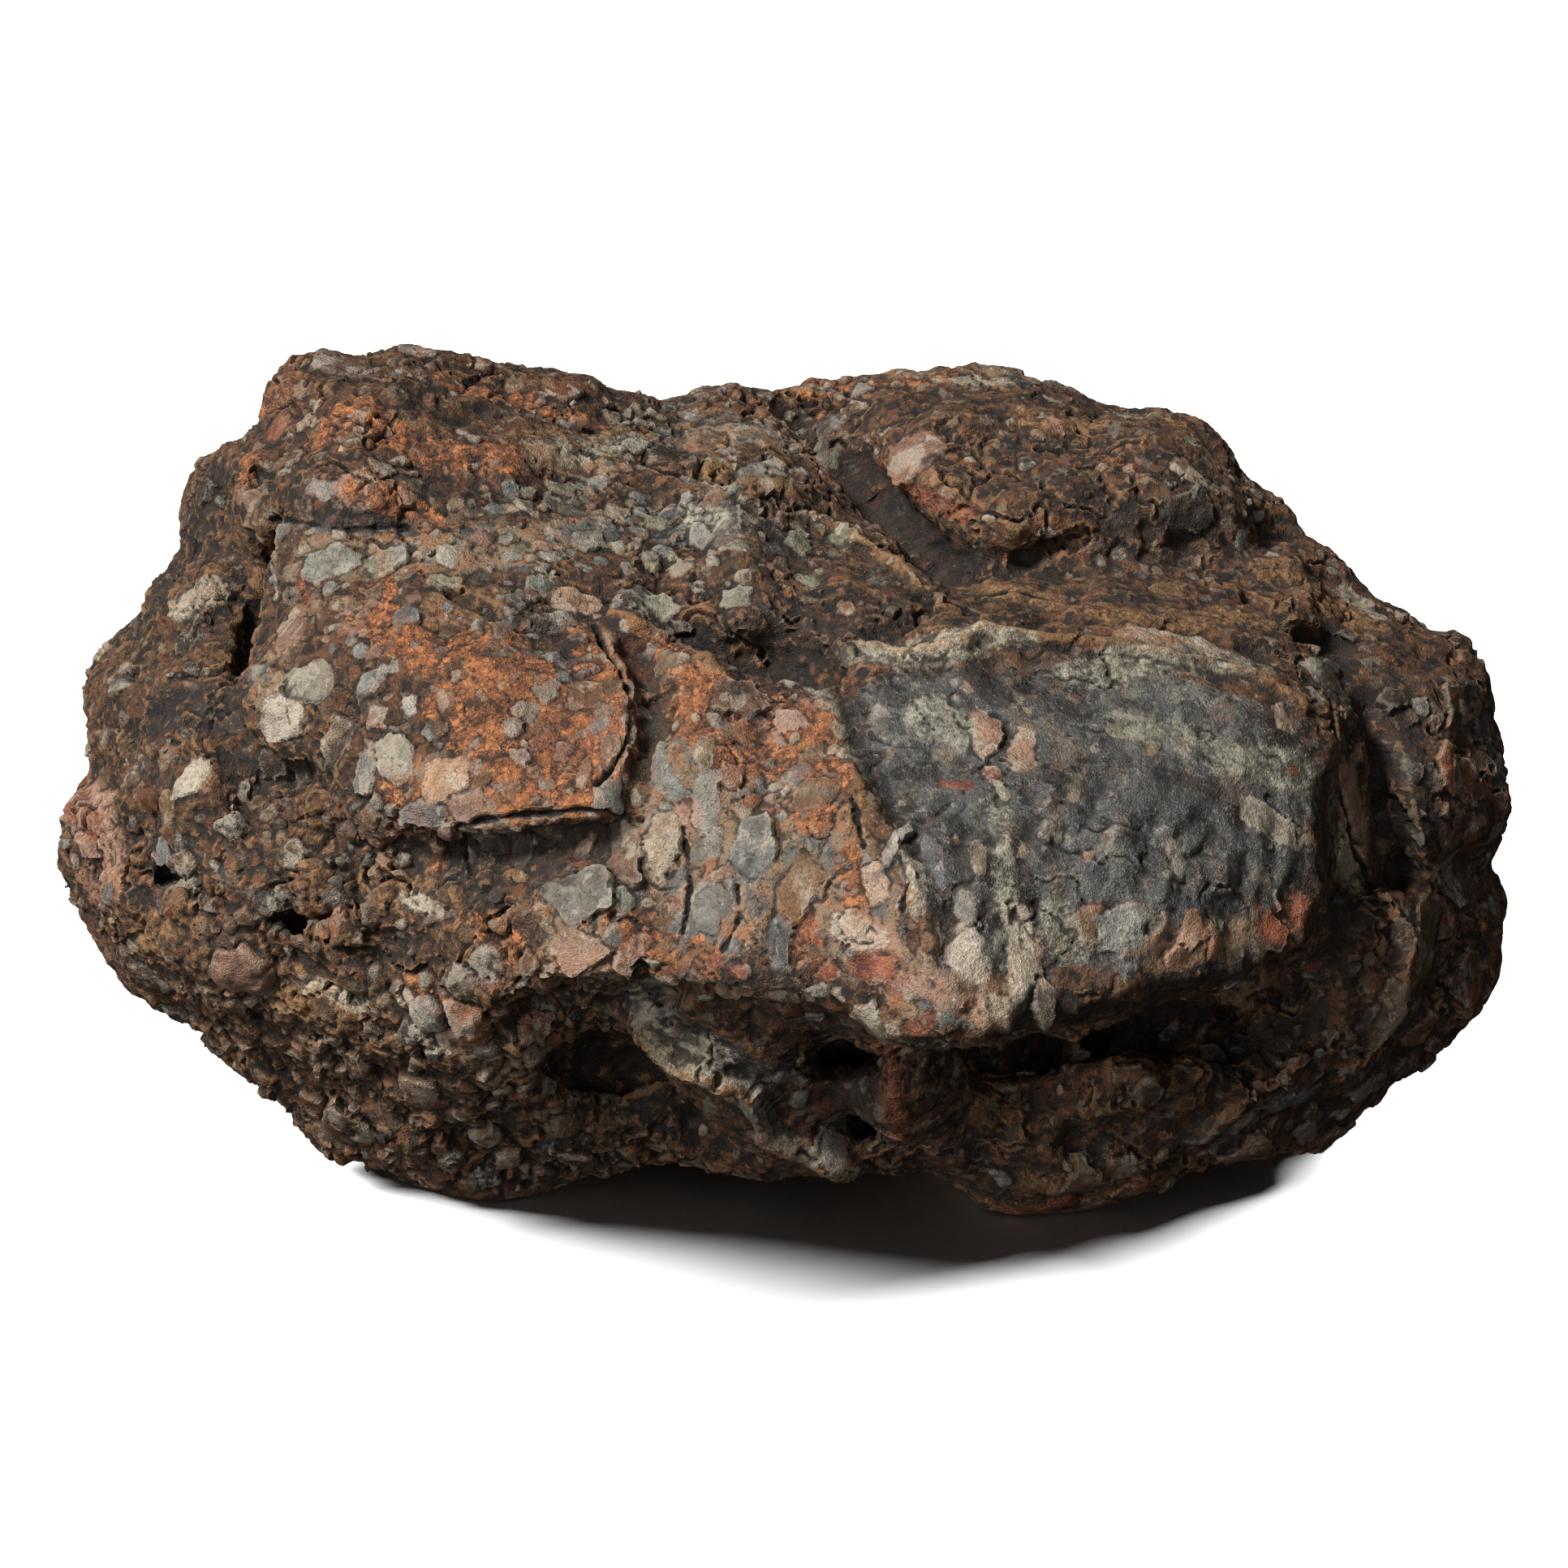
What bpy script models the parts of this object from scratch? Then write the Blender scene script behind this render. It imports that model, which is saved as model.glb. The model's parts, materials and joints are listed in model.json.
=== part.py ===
"""An agatized dinosaur coprolite: one solid lump of agate-cemented chips, about 130 mm long.

The lump is blocked out from landmarks on its rim, crests and troughs, joined into a closed cage,
hollowed where it is undercut, and roughened. It rests on three worn feet in the plane Z = 0.
"""

from math import cos, exp, log1p, radians, sin

import bmesh
import bpy
import numpy as np
from mathutils import Vector, geometry, noise

MM = 0.001

# The landmarks are read in a front view, tipped down. One row is (across, down, nearer):
# across and down in pixels of that view, nearer in mm towards the viewer from the lump's middle.
VIEW_TILT = radians(25)
VIEW_DISTANCE = 600.0
VIEW_MIDDLE_PX = 966.0
PX_PER_MM = 13.7
VIEW_MIDDLE = Vector((0.2, -7.8, 36.0))
VIEW_RIGHT = Vector((1, 0, 0))
VIEW_UP = Vector((0, sin(VIEW_TILT), cos(VIEW_TILT)))
VIEW_NEARER = Vector((0, -cos(VIEW_TILT), sin(VIEW_TILT)))

# The outline of the lump, clockwise from the notch beside the left knob.
RIM = [
    (300, 540, -11), (322, 500, -12), (350, 456, -13), (388, 438, -13), (440, 438, -13),
    (500, 426, -13), (560, 430, -14), (612, 440, -14), (660, 459, -14), (715, 468, -15),
    (752, 490, -17), (805, 494, -19), (820, 508, -20), (836, 494, -20), (900, 475, -19),
    (950, 488, -21), (985, 484, -24), (1055, 463, -24), (1110, 466, -24), (1172, 458, -24),
    (1250, 467, -24), (1310, 483, -23), (1370, 501, -22), (1440, 499, -21), (1476, 508, -20),
    (1504, 540, -19), (1580, 624, -17), (1600, 658, -16), (1650, 682, -16), (1683, 735, -15),
    (1746, 776, -14), (1806, 788, -12), (1834, 830, -10), (1850, 920, -8), (1855, 985, -7),
    (1846, 1025, -7), (1824, 1062, -8), (1842, 1145, -8), (1826, 1204, -8), (1826, 1230, -8),
    (1760, 1310, -9), (1700, 1352, -9), (1672, 1382, -8), (1612, 1420, -7), (1540, 1426, -5),
    (1462, 1452, -4), (1432, 1478, -3), (1330, 1494, -3), (1240, 1504, -2), (1212, 1484, -2),
    (1180, 1446, -1), (1140, 1434, 1), (1060, 1447, 4), (1000, 1440, 2), (920, 1445, 0),
    (830, 1432, -1), (770, 1440, -3), (690, 1462, -5), (600, 1479, -6), (548, 1466, -7),
    (470, 1436, -8), (400, 1402, -9), (335, 1352, -9), (258, 1296, -9), (214, 1236, -8),
    (160, 1212, -7), (118, 1155, -7), (88, 1100, -7), (73, 1035, -7), (80, 995, -8),
    (118, 962, -10), (106, 925, -11), (92, 850, -12), (110, 808, -13), (186, 744, -14),
    (230, 680, -15), (230, 618, -16), (240, 566, -16), (268, 537, -16),
]

# Crests and troughs of the side that is seen, each a run of landmarks.
LINES = {
    "left_knob_brow": [
        (318, 600, 0), (400, 604, 4), (470, 612, 6), (560, 596, 3), (640, 570, -2),
        (720, 548, -8), (800, 530, -13),
    ],
    "left_knob_foot": [
        (330, 640, 2), (400, 640, 4), (480, 652, 5), (570, 640, 4), (660, 620, 0), (780, 600, -5),
    ],
    "left_face_brow": [
        (372, 690, 5), (440, 716, 9), (520, 724, 11), (600, 742, 12), (700, 758, 13),
        (752, 762, 13),
    ],
    "left_face_keel": [(420, 800, 15), (440, 880, 18), (470, 950, 20), (510, 1005, 22)],
    "left_face_hem": [(510, 1005, 22), (560, 1024, 24), (640, 1008, 26), (752, 996, 28)],
    "under_left_face": [(520, 1040, 17), (570, 1052, 19), (650, 1030, 22), (740, 1018, 24)],
    "crack_edge": [(752, 762, 13), (778, 850, 23), (776, 910, 26), (752, 996, 28)],
    "crack_foot": [(770, 776, 12), (796, 850, 18), (794, 906, 21), (778, 980, 25)],
    "centre_face_brow": [
        (778, 762, 15), (830, 812, 19), (900, 838, 21), (960, 858, 22), (1022, 886, 24),
    ],
    "prow": [
        (1022, 886, 24), (1052, 960, 29), (1112, 1040, 33), (1136, 1110, 35), (1168, 1180, 36),
        (1176, 1274, 35),
    ],
    "centre_face_hem": [
        (660, 1196, 25), (720, 1206, 27), (800, 1194, 29), (880, 1214, 31), (1000, 1226, 32),
        (1100, 1272, 33), (1176, 1274, 35),
    ],
    "under_centre_face": [
        (672, 1222, 16), (740, 1236, 15), (800, 1216, 22), (880, 1236, 25), (985, 1242, 26),
        (1060, 1276, 24), (1110, 1296, 21), (1180, 1292, 15),
    ],
    "ledge_lip": [
        (1176, 1274, 35), (1290, 1250, 33), (1400, 1222, 30), (1540, 1198, 25), (1606, 1160, 19),
    ],
    "ledge_back": [
        (1180, 1292, 15), (1290, 1270, 9), (1400, 1248, 7), (1530, 1228, 5), (1630, 1190, 5),
    ],
    "ledge_right_end": [
        (1606, 1160, 19), (1618, 1080, 19), (1616, 1000, 18), (1640, 920, 14), (1634, 868, 10),
    ],
    "right_wall_foot": [
        (1634, 1120, 8), (1650, 1060, 7), (1652, 990, 8), (1664, 930, 8), (1662, 860, 5),
    ],
    "ledge_bend": [
        (1052, 960, 29), (1150, 984, 28), (1220, 956, 27), (1350, 962, 26), (1480, 976, 23),
        (1616, 1000, 18),
    ],
    "ledge_rim": [
        (1030, 812, 18), (1090, 790, 17), (1180, 776, 16), (1300, 796, 16), (1400, 776, 13),
        (1500, 796, 11), (1580, 830, 11), (1634, 868, 10),
    ],
    "valley": [
        (985, 484, -24), (1046, 556, -18), (1100, 636, -12), (1168, 708, -5), (1260, 716, -2),
        (1400, 716, -2), (1520, 720, -4), (1610, 726, -7),
    ],
    "centre_crest": [
        (900, 475, -19), (900, 524, -13), (988, 540, -13), (1006, 600, -8), (1020, 640, -3),
        (1084, 664, 0), (1150, 734, 7), (1120, 780, 13),
    ],
    "centre_step": [(800, 600, -6), (850, 586, -6), (912, 604, -5), (1006, 600, -8)],
    "upper_block_hem": [(820, 640, -2), (890, 606, 0), (956, 606, -1), (1020, 640, -3)],
    "hollow_behind_centre_face": [(770, 744, 9), (850, 796, 11), (930, 822, 12), (1000, 826, 13)],
    "right_dome_foot": [
        (1062, 560, -16), (1110, 632, -10), (1200, 690, -5), (1300, 694, -3), (1420, 690, -5),
        (1530, 690, -8),
    ],
    "right_dome_brow": [
        (1060, 505, -17), (1090, 548, -9), (1160, 600, -3), (1220, 640, -1), (1320, 636, -2),
        (1440, 620, -4), (1520, 600, -9),
    ],
    "right_gully": [
        (1662, 860, 5), (1686, 930, 4), (1694, 1000, 4), (1698, 1062, 3), (1700, 1092, 1),
    ],
    "right_rib": [
        (1650, 1142, 10), (1700, 1116, 8), (1734, 1150, 6), (1712, 1240, 5), (1668, 1310, 3),
        (1600, 1372, 0),
    ],
    "behind_right_rib": [(1752, 1090, 0), (1762, 1160, -1), (1740, 1250, -2), (1692, 1316, -4)],
    "left_crevice": [(330, 640, 2), (322, 700, -4), (318, 770, -3), (300, 830, 1)],
    "left_crevice_lip": [(352, 680, 4), (344, 770, 7), (330, 830, 9), (300, 900, 8)],
    "spur": [
        (790, 1240, 20), (850, 1312, 18), (900, 1336, 17), (936, 1386, 13), (1060, 1438, 8),
    ],
    "spur_shadow": [(770, 1262, 12), (820, 1344, 7), (880, 1376, 5), (930, 1420, 3)],
    "keel_edge": [(985, 1242, 26), (966, 1300, 20), (975, 1345, 15), (990, 1390, 12), (1060, 1438, 8)],
    "low_column": [(1110, 1296, 21), (1104, 1345, 18), (1108, 1385, 14), (1150, 1418, 9)],
    "pocket_sill": [(975, 1345, 15), (1030, 1336, 13), (1104, 1345, 18)],
    "boss_lip": [(1300, 1372, 9), (1370, 1368, 12), (1440, 1350, 13), (1490, 1326, 10)],
    "boss_foot": [(1310, 1386, 6), (1380, 1382, 7), (1450, 1366, 7), (1500, 1342, 6)],
    "slanting_rib": [(1480, 1404, 6), (1540, 1354, 9), (1600, 1316, 9), (1656, 1284, 6)],
    "below_slanting_rib": [(1500, 1416, 2), (1556, 1376, 3), (1606, 1344, 3)],
    "foot_crest": [(1190, 1442, 5), (1260, 1450, 6), (1340, 1452, 7), (1420, 1430, 5)],
    "block_below_cavity": [(352, 1150, 15), (400, 1132, 18), (438, 1128, 18), (442, 1172, 17)],
}

# Single places on the side that is seen: swellings and sunk places between the lines.
PLACES = [
    (400, 500, -5), (480, 480, -6), (440, 560, 2), (560, 520, -4), (640, 510, -9),
    (300, 590, -4), (268, 600, -8), (270, 680, -6), (262, 720, -2), (238, 752, 0),
    (190, 800, -3), (150, 850, -2), (210, 870, 2), (250, 820, 2), (160, 920, 0),
    (240, 960, 11), (210, 930, 6), (300, 960, 9), (370, 960, 12), (330, 880, 12),
    (380, 800, 12), (400, 720, 8), (110, 1030, 0), (160, 1000, 4), (130, 1090, 1),
    (200, 1080, 8), (290, 1030, 13), (380, 1020, 13), (440, 1040, 15), (290, 1110, 12),
    (180, 1160, 3), (270, 1200, 10), (340, 1090, 14), (430, 1096, 16), (420, 1160, 15),
    (350, 1160, 13), (520, 1120, 19), (600, 1110, 22), (560, 1190, 20), (480, 1220, 17),
    (400, 1250, 12), (330, 1270, 5), (560, 1270, 18), (640, 1290, 16), (500, 1320, 12),
    (420, 1340, 4), (600, 1360, 10), (520, 1400, 3), (680, 1380, 6), (640, 1430, 2),
    (740, 1330, 6), (740, 1410, 2), (560, 820, 18), (660, 850, 21), (600, 920, 23),
    (700, 920, 25), (850, 920, 26), (900, 1000, 28), (820, 1080, 28), (980, 1100, 32),
    (720, 1100, 27), (1060, 1160, 34), (600, 690, 7), (700, 680, 5), (800, 700, 5),
    (900, 700, 8), (980, 740, 11), (900, 770, 13), (1040, 720, 8), (700, 620, -3),
    (1150, 860, 22), (1300, 870, 21), (1450, 870, 18), (1560, 900, 16), (1250, 1080, 32),
    (1400, 1080, 30), (1520, 1080, 25), (1560, 1150, 23), (1100, 500, -16), (1180, 520, -10),
    (1290, 520, -11), (1300, 580, -5), (1400, 540, -10), (1480, 560, -12), (1590, 690, -8),
    (1240, 750, 7), (1380, 748, 6), (1500, 764, 4), (1580, 780, 4), (1640, 790, -1),
    (1700, 800, -4), (1740, 850, -1), (1790, 850, -4), (1720, 930, 4), (1790, 940, 2),
    (1750, 1020, 4), (1800, 1020, 1), (1800, 1120, -1), (1790, 1200, -3), (1650, 1220, 8),
    (1640, 1290, 6), (1200, 1330, 12), (1270, 1320, 8), (1400, 1300, 15), (1350, 1280, 11), (1450, 1280, 10),
    (1520, 1290, 5), (1580, 1270, 4), (1220, 1390, 10), (1300, 1412, 9), (1390, 1410, 8),
    (1300, 1478, 3), (880, 1290, 22), (1040, 1296, 10), (1040, 1390, 8), (880, 1410, 1),
    (1620, 1200, 7), (1540, 1420, 1),
]

# Places that the far side and the underside pass through, in mm: (right, back, up).
FAR_PLACES = [
    (-46, 22, 46), (-20, 37, 54), (10, 41, 50), (40, 30, 41), (-52, 18, 24), (-24, 42, 33),
    (6, 45, 29), (36, 37, 24), (56, 12, 22), (-42, 20, 5), (-14, 36, 7), (18, 35, 5),
    (43, 17, 8), (-30, 4, 2), (0, 8, 4), (30, 3, 2), (2, 24, 1),
]

# Rings of the far side: how far in from the rim, as a share of the way to the middle, and how
# many places of the rim one place of the ring stands for.
FAR_RINGS = [
    (0.012, 1), (0.04, 1), (0.08, 1), (0.14, 1), (0.21, 2), (0.30, 2), (0.40, 2), (0.52, 4),
    (0.66, 4), (0.82, 4),
]
LEAST_FAR_DEPTH = 1.0

# Feet that the lump rests on, worn flat: (right, back) centre and half sizes, in mm.
FEET = [(-27, -15, 10, 8), (23, -16, 12, 9), (-2, 24, 12, 8)]
CLEAR_OF_FLOOR = 1.6
FLOOR_SOFTNESS = 0.8
FLOOR_FELT_BELOW = 18.0
FOOT_REACH = 6.0
FOOT_DROP = 4.2

# The broad fracture face is calmer than the rest: its middle in the front view, and its reach in mm.
FRACTURE_FACE = (1330, 1010, 27)
FRACTURE_REACH = 18.0
FRACTURE_CALM = 0.6

# Ups and downs of the skin in mm, as (size, height): those seen, and the larger ones of the far side.
SEEN_RELIEF = [(17.0, 1.2), (7.0, 0.9)]
SEEN_RIDGES = (11.0, 1.1)
FAR_RELIEF = [(19.0, 5.0), (8.0, 1.8)]
FAR_RIDGES = (14.0, 4.0)
FINE_RELIEF = (3.6, 0.4)
HIDDEN_FROM = 0.1
HIDDEN_FULLY = 0.6
SEEN_SKIN_OUT = 0.1
FAR_SKIN_IN = 0.45

# Hollows cut into the cage: (across, down, nearer) of the centre, then half sizes in mm.
HOLLOWS = [
    ((1440, 1258, 10), (17, 4.2, 9)),
    ((1270, 1284, 14), (8, 2.6, 7)),
    ((384, 1128, 14), (3.8, 2.0, 5)),
    ((790, 1214, 24), (3.0, 1.6, 6)),
    ((770, 1320, 9), (5.0, 4.5, 6)),
    ((1042, 1298, 14), (4.4, 2.6, 8)),
    ((1058, 1384, 10), (3.2, 1.8, 5)),
    ((1562, 1214, 8), (4.4, 2.4, 8)),
    ((216, 1088, 7), (1.6, 2.0, 4)),
    ((318, 760, 3), (1.0, 4.5, 5)),
]

SAME_PLACE_PX = 1e-3
TINY = 1e-12
FINE_STEP = 1.0 * MM
TARGET_TRIANGLES = 9200
ROUNDING_PASSES = 3
FLAT_WITHIN = 0.02 * MM


def place_seen(across, down, nearer):
    """The point of the lump's frame, in mm, that the front view shows at a pixel."""
    scale = (1 - nearer / VIEW_DISTANCE) / PX_PER_MM
    right = (across - VIEW_MIDDLE_PX) * scale
    up = (VIEW_MIDDLE_PX - down) * scale
    return VIEW_MIDDLE + right * VIEW_RIGHT + up * VIEW_UP + nearer * VIEW_NEARER


def seen_at(point):
    """The pixel of the front view that shows a point of the lump's frame."""
    offset = Vector(point) - VIEW_MIDDLE
    scale = PX_PER_MM / (1 - offset.dot(VIEW_NEARER) / VIEW_DISTANCE)
    across = VIEW_MIDDLE_PX + offset.dot(VIEW_RIGHT) * scale
    down = VIEW_MIDDLE_PX - offset.dot(VIEW_UP) * scale
    return Vector((across, down))


def triangles_inside(flat_points, rim_count, runs):
    """Triangles between points in the plane, inside the rim, keeping every run as edges."""
    edges = [pair for run in runs for pair in zip(run, run[1:])]
    rim = list(range(rim_count))
    points, _, faces, *_ = geometry.delaunay_2d_cdt(flat_points, edges, [rim], 1, SAME_PLACE_PX)
    if len(points) != len(flat_points):
        raise ValueError("two lines cross or two landmarks coincide")
    return [tuple(face) for face in faces]


def front_sheet(points, index):
    """Adds the landmarks of the seen side to points, and returns the runs that they form."""
    runs = []
    for rows in LINES.values():
        run = []
        for row in rows:
            if row not in index:
                index[row] = len(points)
                points.append(row)
            run.append(index[row])
        runs.append(run)
    for row in PLACES:
        index[row] = len(points)
        points.append(row)
    return runs


def plate_through(places, heights):
    """A smooth function of the plane, a bent thin plate, that has these heights at these places."""

    def bend(these, those):
        squared = ((these[:, None] - those[None]) ** 2).sum(axis=2)
        return squared * np.log(squared + TINY)

    places = np.array(places, float) / VIEW_MIDDLE_PX
    count = len(places)
    level = np.column_stack([np.ones(count), places])
    matrix = np.zeros((count + 3, count + 3))
    matrix[:count, :count] = bend(places, places)
    matrix[:count, count:] = level
    matrix[count:, :count] = level.T
    weights = np.linalg.solve(matrix, np.append(heights, [0, 0, 0]))

    def height(across, down):
        here = np.array([[across, down]], float) / VIEW_MIDDLE_PX
        curved = (bend(here, places) @ weights[:count])[0]
        return float(curved + weights[count] + here[0] @ weights[count + 1:])

    return height


def far_sheet():
    """The hidden side, in rings from the rim to the middle: it swells like an egg behind the rim."""
    rim_flat = [row[:2] for row in RIM]
    rim_level = plate_through(rim_flat, [row[2] for row in RIM])
    flat = list(rim_flat)
    squares = [0.0] * len(RIM)
    for place in FAR_PLACES:
        across, down = seen_at(place)
        nearer = (Vector(place) - VIEW_MIDDLE).dot(VIEW_NEARER)
        flat.append((across, down))
        squares.append((rim_level(across, down) - nearer) ** 2)
    square_depth = plate_through(flat, squares)
    rows = []
    for inward, every in FAR_RINGS:
        for across, down in rim_flat[::every]:
            across += (VIEW_MIDDLE_PX - across) * inward
            down += (VIEW_MIDDLE_PX - down) * inward
            depth = max(square_depth(across, down), LEAST_FAR_DEPTH ** 2) ** 0.5
            rows.append((across, down, rim_level(across, down) - depth))
    return rows


def cage_mesh():
    """The closed, coarse cage of the lump, in metres."""
    rim_count = len(RIM)
    front = list(RIM)
    runs = front_sheet(front, {row: i for i, row in enumerate(RIM)})
    front_flat = [Vector((across, down)) for across, down, _ in front]
    front_faces = triangles_inside(front_flat, rim_count, runs)
    corners = [place_seen(*row) for row in front]

    far = far_sheet()
    far_flat = front_flat[:rim_count] + [Vector((across, down)) for across, down, _ in far]
    far_faces = triangles_inside(far_flat, rim_count, [])
    shift = len(front) - rim_count
    corners += [place_seen(*row) for row in far]

    mesh = bpy.data.meshes.new("cage")
    moved = [tuple(i if i < rim_count else i + shift for i in face) for face in far_faces]
    mesh.from_pydata([corner * MM for corner in corners], [], front_faces + [f[::-1] for f in moved])
    shape = bmesh.new()
    shape.from_mesh(mesh)
    bmesh.ops.recalc_face_normals(shape, faces=shape.faces)
    shape.to_mesh(mesh)
    shape.free()
    return mesh


def helper_object(name, mesh):
    """An object that only shapes others, left out of the model."""
    helper = bpy.data.objects.new(name, mesh)
    helper.hide_render = True
    helper.display_type = "WIRE"
    bpy.context.scene.collection.objects.link(helper)
    return helper


def hollow_cutter(number, centre, half_sizes):
    """A rounded cutter lying square to the front view."""
    shape = bmesh.new()
    bmesh.ops.create_icosphere(shape, subdivisions=2, radius=1)
    middle = place_seen(*centre)
    for corner in shape.verts:
        right, up, nearer = (part * size for part, size in zip(corner.co, half_sizes))
        corner.co = (middle + right * VIEW_RIGHT + up * VIEW_UP + nearer * VIEW_NEARER) * MM
    bmesh.ops.recalc_face_normals(shape, faces=shape.faces)
    mesh = bpy.data.meshes.new(f"hollow_{number}")
    shape.to_mesh(mesh)
    shape.free()
    return helper_object(f"hollow_{number}", mesh)


def evaluated_mesh(thing):
    """A plain mesh of the object with its modifiers applied."""
    graph = bpy.context.evaluated_depsgraph_get()
    return bpy.data.meshes.new_from_object(thing.evaluated_get(graph), depsgraph=graph)


def blocked_out():
    """The cage with its hollows cut, remeshed evenly and rounded a little."""
    block = helper_object("block", cage_mesh())
    for number, (centre, half_sizes) in enumerate(HOLLOWS):
        cut = block.modifiers.new(f"hollow_{number}", "BOOLEAN")
        cut.operation = "DIFFERENCE"
        cut.object = hollow_cutter(number, centre, half_sizes)
    remesh = block.modifiers.new("even", "REMESH")
    remesh.mode = "VOXEL"
    remesh.voxel_size = FINE_STEP
    rounding = block.modifiers.new("rounding", "SMOOTH")
    rounding.factor = 0.5
    rounding.iterations = ROUNDING_PASSES
    return evaluated_mesh(block)


def relief(place, size, height):
    """Rounded ups and downs of about this size and height, in mm."""
    return noise.noise(place / size + Vector((size, 0, 0))) * height


def ridges(place, size, height):
    """Sharp crests of about this size and height, in mm, with broad troughs between them."""
    return (0.5 - abs(noise.noise(place / size + Vector((0, size, 0))))) * height


def roughness_at(place, hidden):
    """How far the skin stands out at a place in mm. Where it is hidden, from 0 to 1, it is lumpier."""
    from_face = (place - place_seen(*FRACTURE_FACE)).length / FRACTURE_REACH
    calm = 1 - FRACTURE_CALM * exp(-from_face ** 2)
    seen = sum(relief(place, *row) for row in SEEN_RELIEF) + ridges(place, *SEEN_RIDGES)
    far = sum(relief(place, *row) for row in FAR_RELIEF) + ridges(place, *FAR_RIDGES)
    rough = seen * calm * (1 - hidden) + far * hidden + relief(place, *FINE_RELIEF)
    return rough + SEEN_SKIN_OUT * (1 - hidden) - FAR_SKIN_IN * hidden


def above_floor(place):
    """The height that a place of the skin keeps: clear of the floor, but flat on it under each foot."""
    if place.z > FLOOR_FELT_BELOW:
        return place.z
    over = (place.z - CLEAR_OF_FLOOR) / FLOOR_SOFTNESS
    height = CLEAR_OF_FLOOR + FLOOR_SOFTNESS * log1p(exp(over))
    low = max(1 - max(place.z, 0) / FOOT_REACH, 0)
    for right, back, half_right, half_back in FEET:
        off = ((place.x - right) / half_right) ** 2 + ((place.y - back) / half_back) ** 2
        height -= max(1 - off, 0) * low * FOOT_DROP
    return max(height, 0.0)


def roughened(mesh):
    """Pushes each point of the skin out or in along its normal, and lifts it off the floor."""
    normals = [Vector(point.normal) for point in mesh.vertices]
    for point, normal in zip(mesh.vertices, normals):
        place = point.co / MM
        turned_away = -normal.dot(VIEW_NEARER)
        hidden = min(max((turned_away - HIDDEN_FROM) / (HIDDEN_FULLY - HIDDEN_FROM), 0.0), 1.0)
        place += normal * roughness_at(place, hidden)
        place.z = above_floor(place)
        point.co = place * MM
    return mesh


def lump():
    """The finished solid, thinned to the triangles that its form needs."""
    fine = helper_object("fine", roughened(blocked_out()))
    thin = fine.modifiers.new("thin", "DECIMATE")
    thin.ratio = TARGET_TRIANGLES / (2 * len(fine.data.polygons))
    mesh = evaluated_mesh(fine)
    for point in mesh.vertices:
        if point.co.z < FLAT_WITHIN:
            point.co.z = 0.0
    return mesh


def stone_material():
    material = bpy.data.materials.new("agatized_stone")
    material.use_nodes = True
    surface = material.node_tree.nodes["Principled BSDF"]
    surface.inputs["Base Color"].default_value = (0.16, 0.11, 0.08, 1)
    surface.inputs["Roughness"].default_value = 0.6
    surface.inputs["Metallic"].default_value = 0.0
    return material


def main():
    for old in list(bpy.data.objects):
        bpy.data.objects.remove(old)
    mesh = lump()
    mesh.name = "coprolite"
    stone = bpy.data.objects.new("coprolite", mesh)
    mesh.materials.clear()
    mesh.materials.append(stone_material())
    bpy.context.scene.collection.objects.link(stone)


main()
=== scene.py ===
"""The looks of an agatized dinosaur coprolite: a cemented mass of agate chips in dark stone.

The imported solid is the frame. Its surface is remeshed finely and roughened zone by zone to make the
stone's skin. Chips of agate are set flush in the skin, and grains are bedded in it.
Lengths are in millimetres until a mesh is written. Places on the side that is seen are given as
pixels of the photograph, and a ray from its camera puts them on the stone.
"""
import math

import bmesh
import bpy
import numpy as np
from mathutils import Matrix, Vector
from mathutils.bvhtree import BVHTree
from mathutils.kdtree import KDTree
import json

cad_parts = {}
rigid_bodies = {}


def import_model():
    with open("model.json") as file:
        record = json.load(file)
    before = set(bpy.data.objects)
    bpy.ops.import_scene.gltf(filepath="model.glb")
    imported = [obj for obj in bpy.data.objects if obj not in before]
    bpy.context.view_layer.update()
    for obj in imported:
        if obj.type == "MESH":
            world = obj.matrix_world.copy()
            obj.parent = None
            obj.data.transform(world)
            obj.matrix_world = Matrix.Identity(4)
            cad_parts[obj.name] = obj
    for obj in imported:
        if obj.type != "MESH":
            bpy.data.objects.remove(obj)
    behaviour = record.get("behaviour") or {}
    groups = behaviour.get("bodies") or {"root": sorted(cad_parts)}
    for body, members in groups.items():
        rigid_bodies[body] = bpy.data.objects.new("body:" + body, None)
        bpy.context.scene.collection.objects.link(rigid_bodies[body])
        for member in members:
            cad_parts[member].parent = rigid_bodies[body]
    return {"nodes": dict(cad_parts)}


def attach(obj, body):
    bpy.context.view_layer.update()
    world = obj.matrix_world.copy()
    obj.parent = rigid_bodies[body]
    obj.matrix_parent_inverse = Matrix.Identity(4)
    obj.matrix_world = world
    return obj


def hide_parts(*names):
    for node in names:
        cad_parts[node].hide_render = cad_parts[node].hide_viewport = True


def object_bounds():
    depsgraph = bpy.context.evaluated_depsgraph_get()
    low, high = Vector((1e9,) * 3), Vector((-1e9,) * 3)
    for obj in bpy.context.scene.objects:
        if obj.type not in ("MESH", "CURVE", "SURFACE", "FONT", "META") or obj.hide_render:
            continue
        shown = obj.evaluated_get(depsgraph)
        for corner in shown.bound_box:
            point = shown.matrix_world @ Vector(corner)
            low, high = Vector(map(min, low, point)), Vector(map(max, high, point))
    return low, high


MM = 0.001

# The photograph's camera

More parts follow.
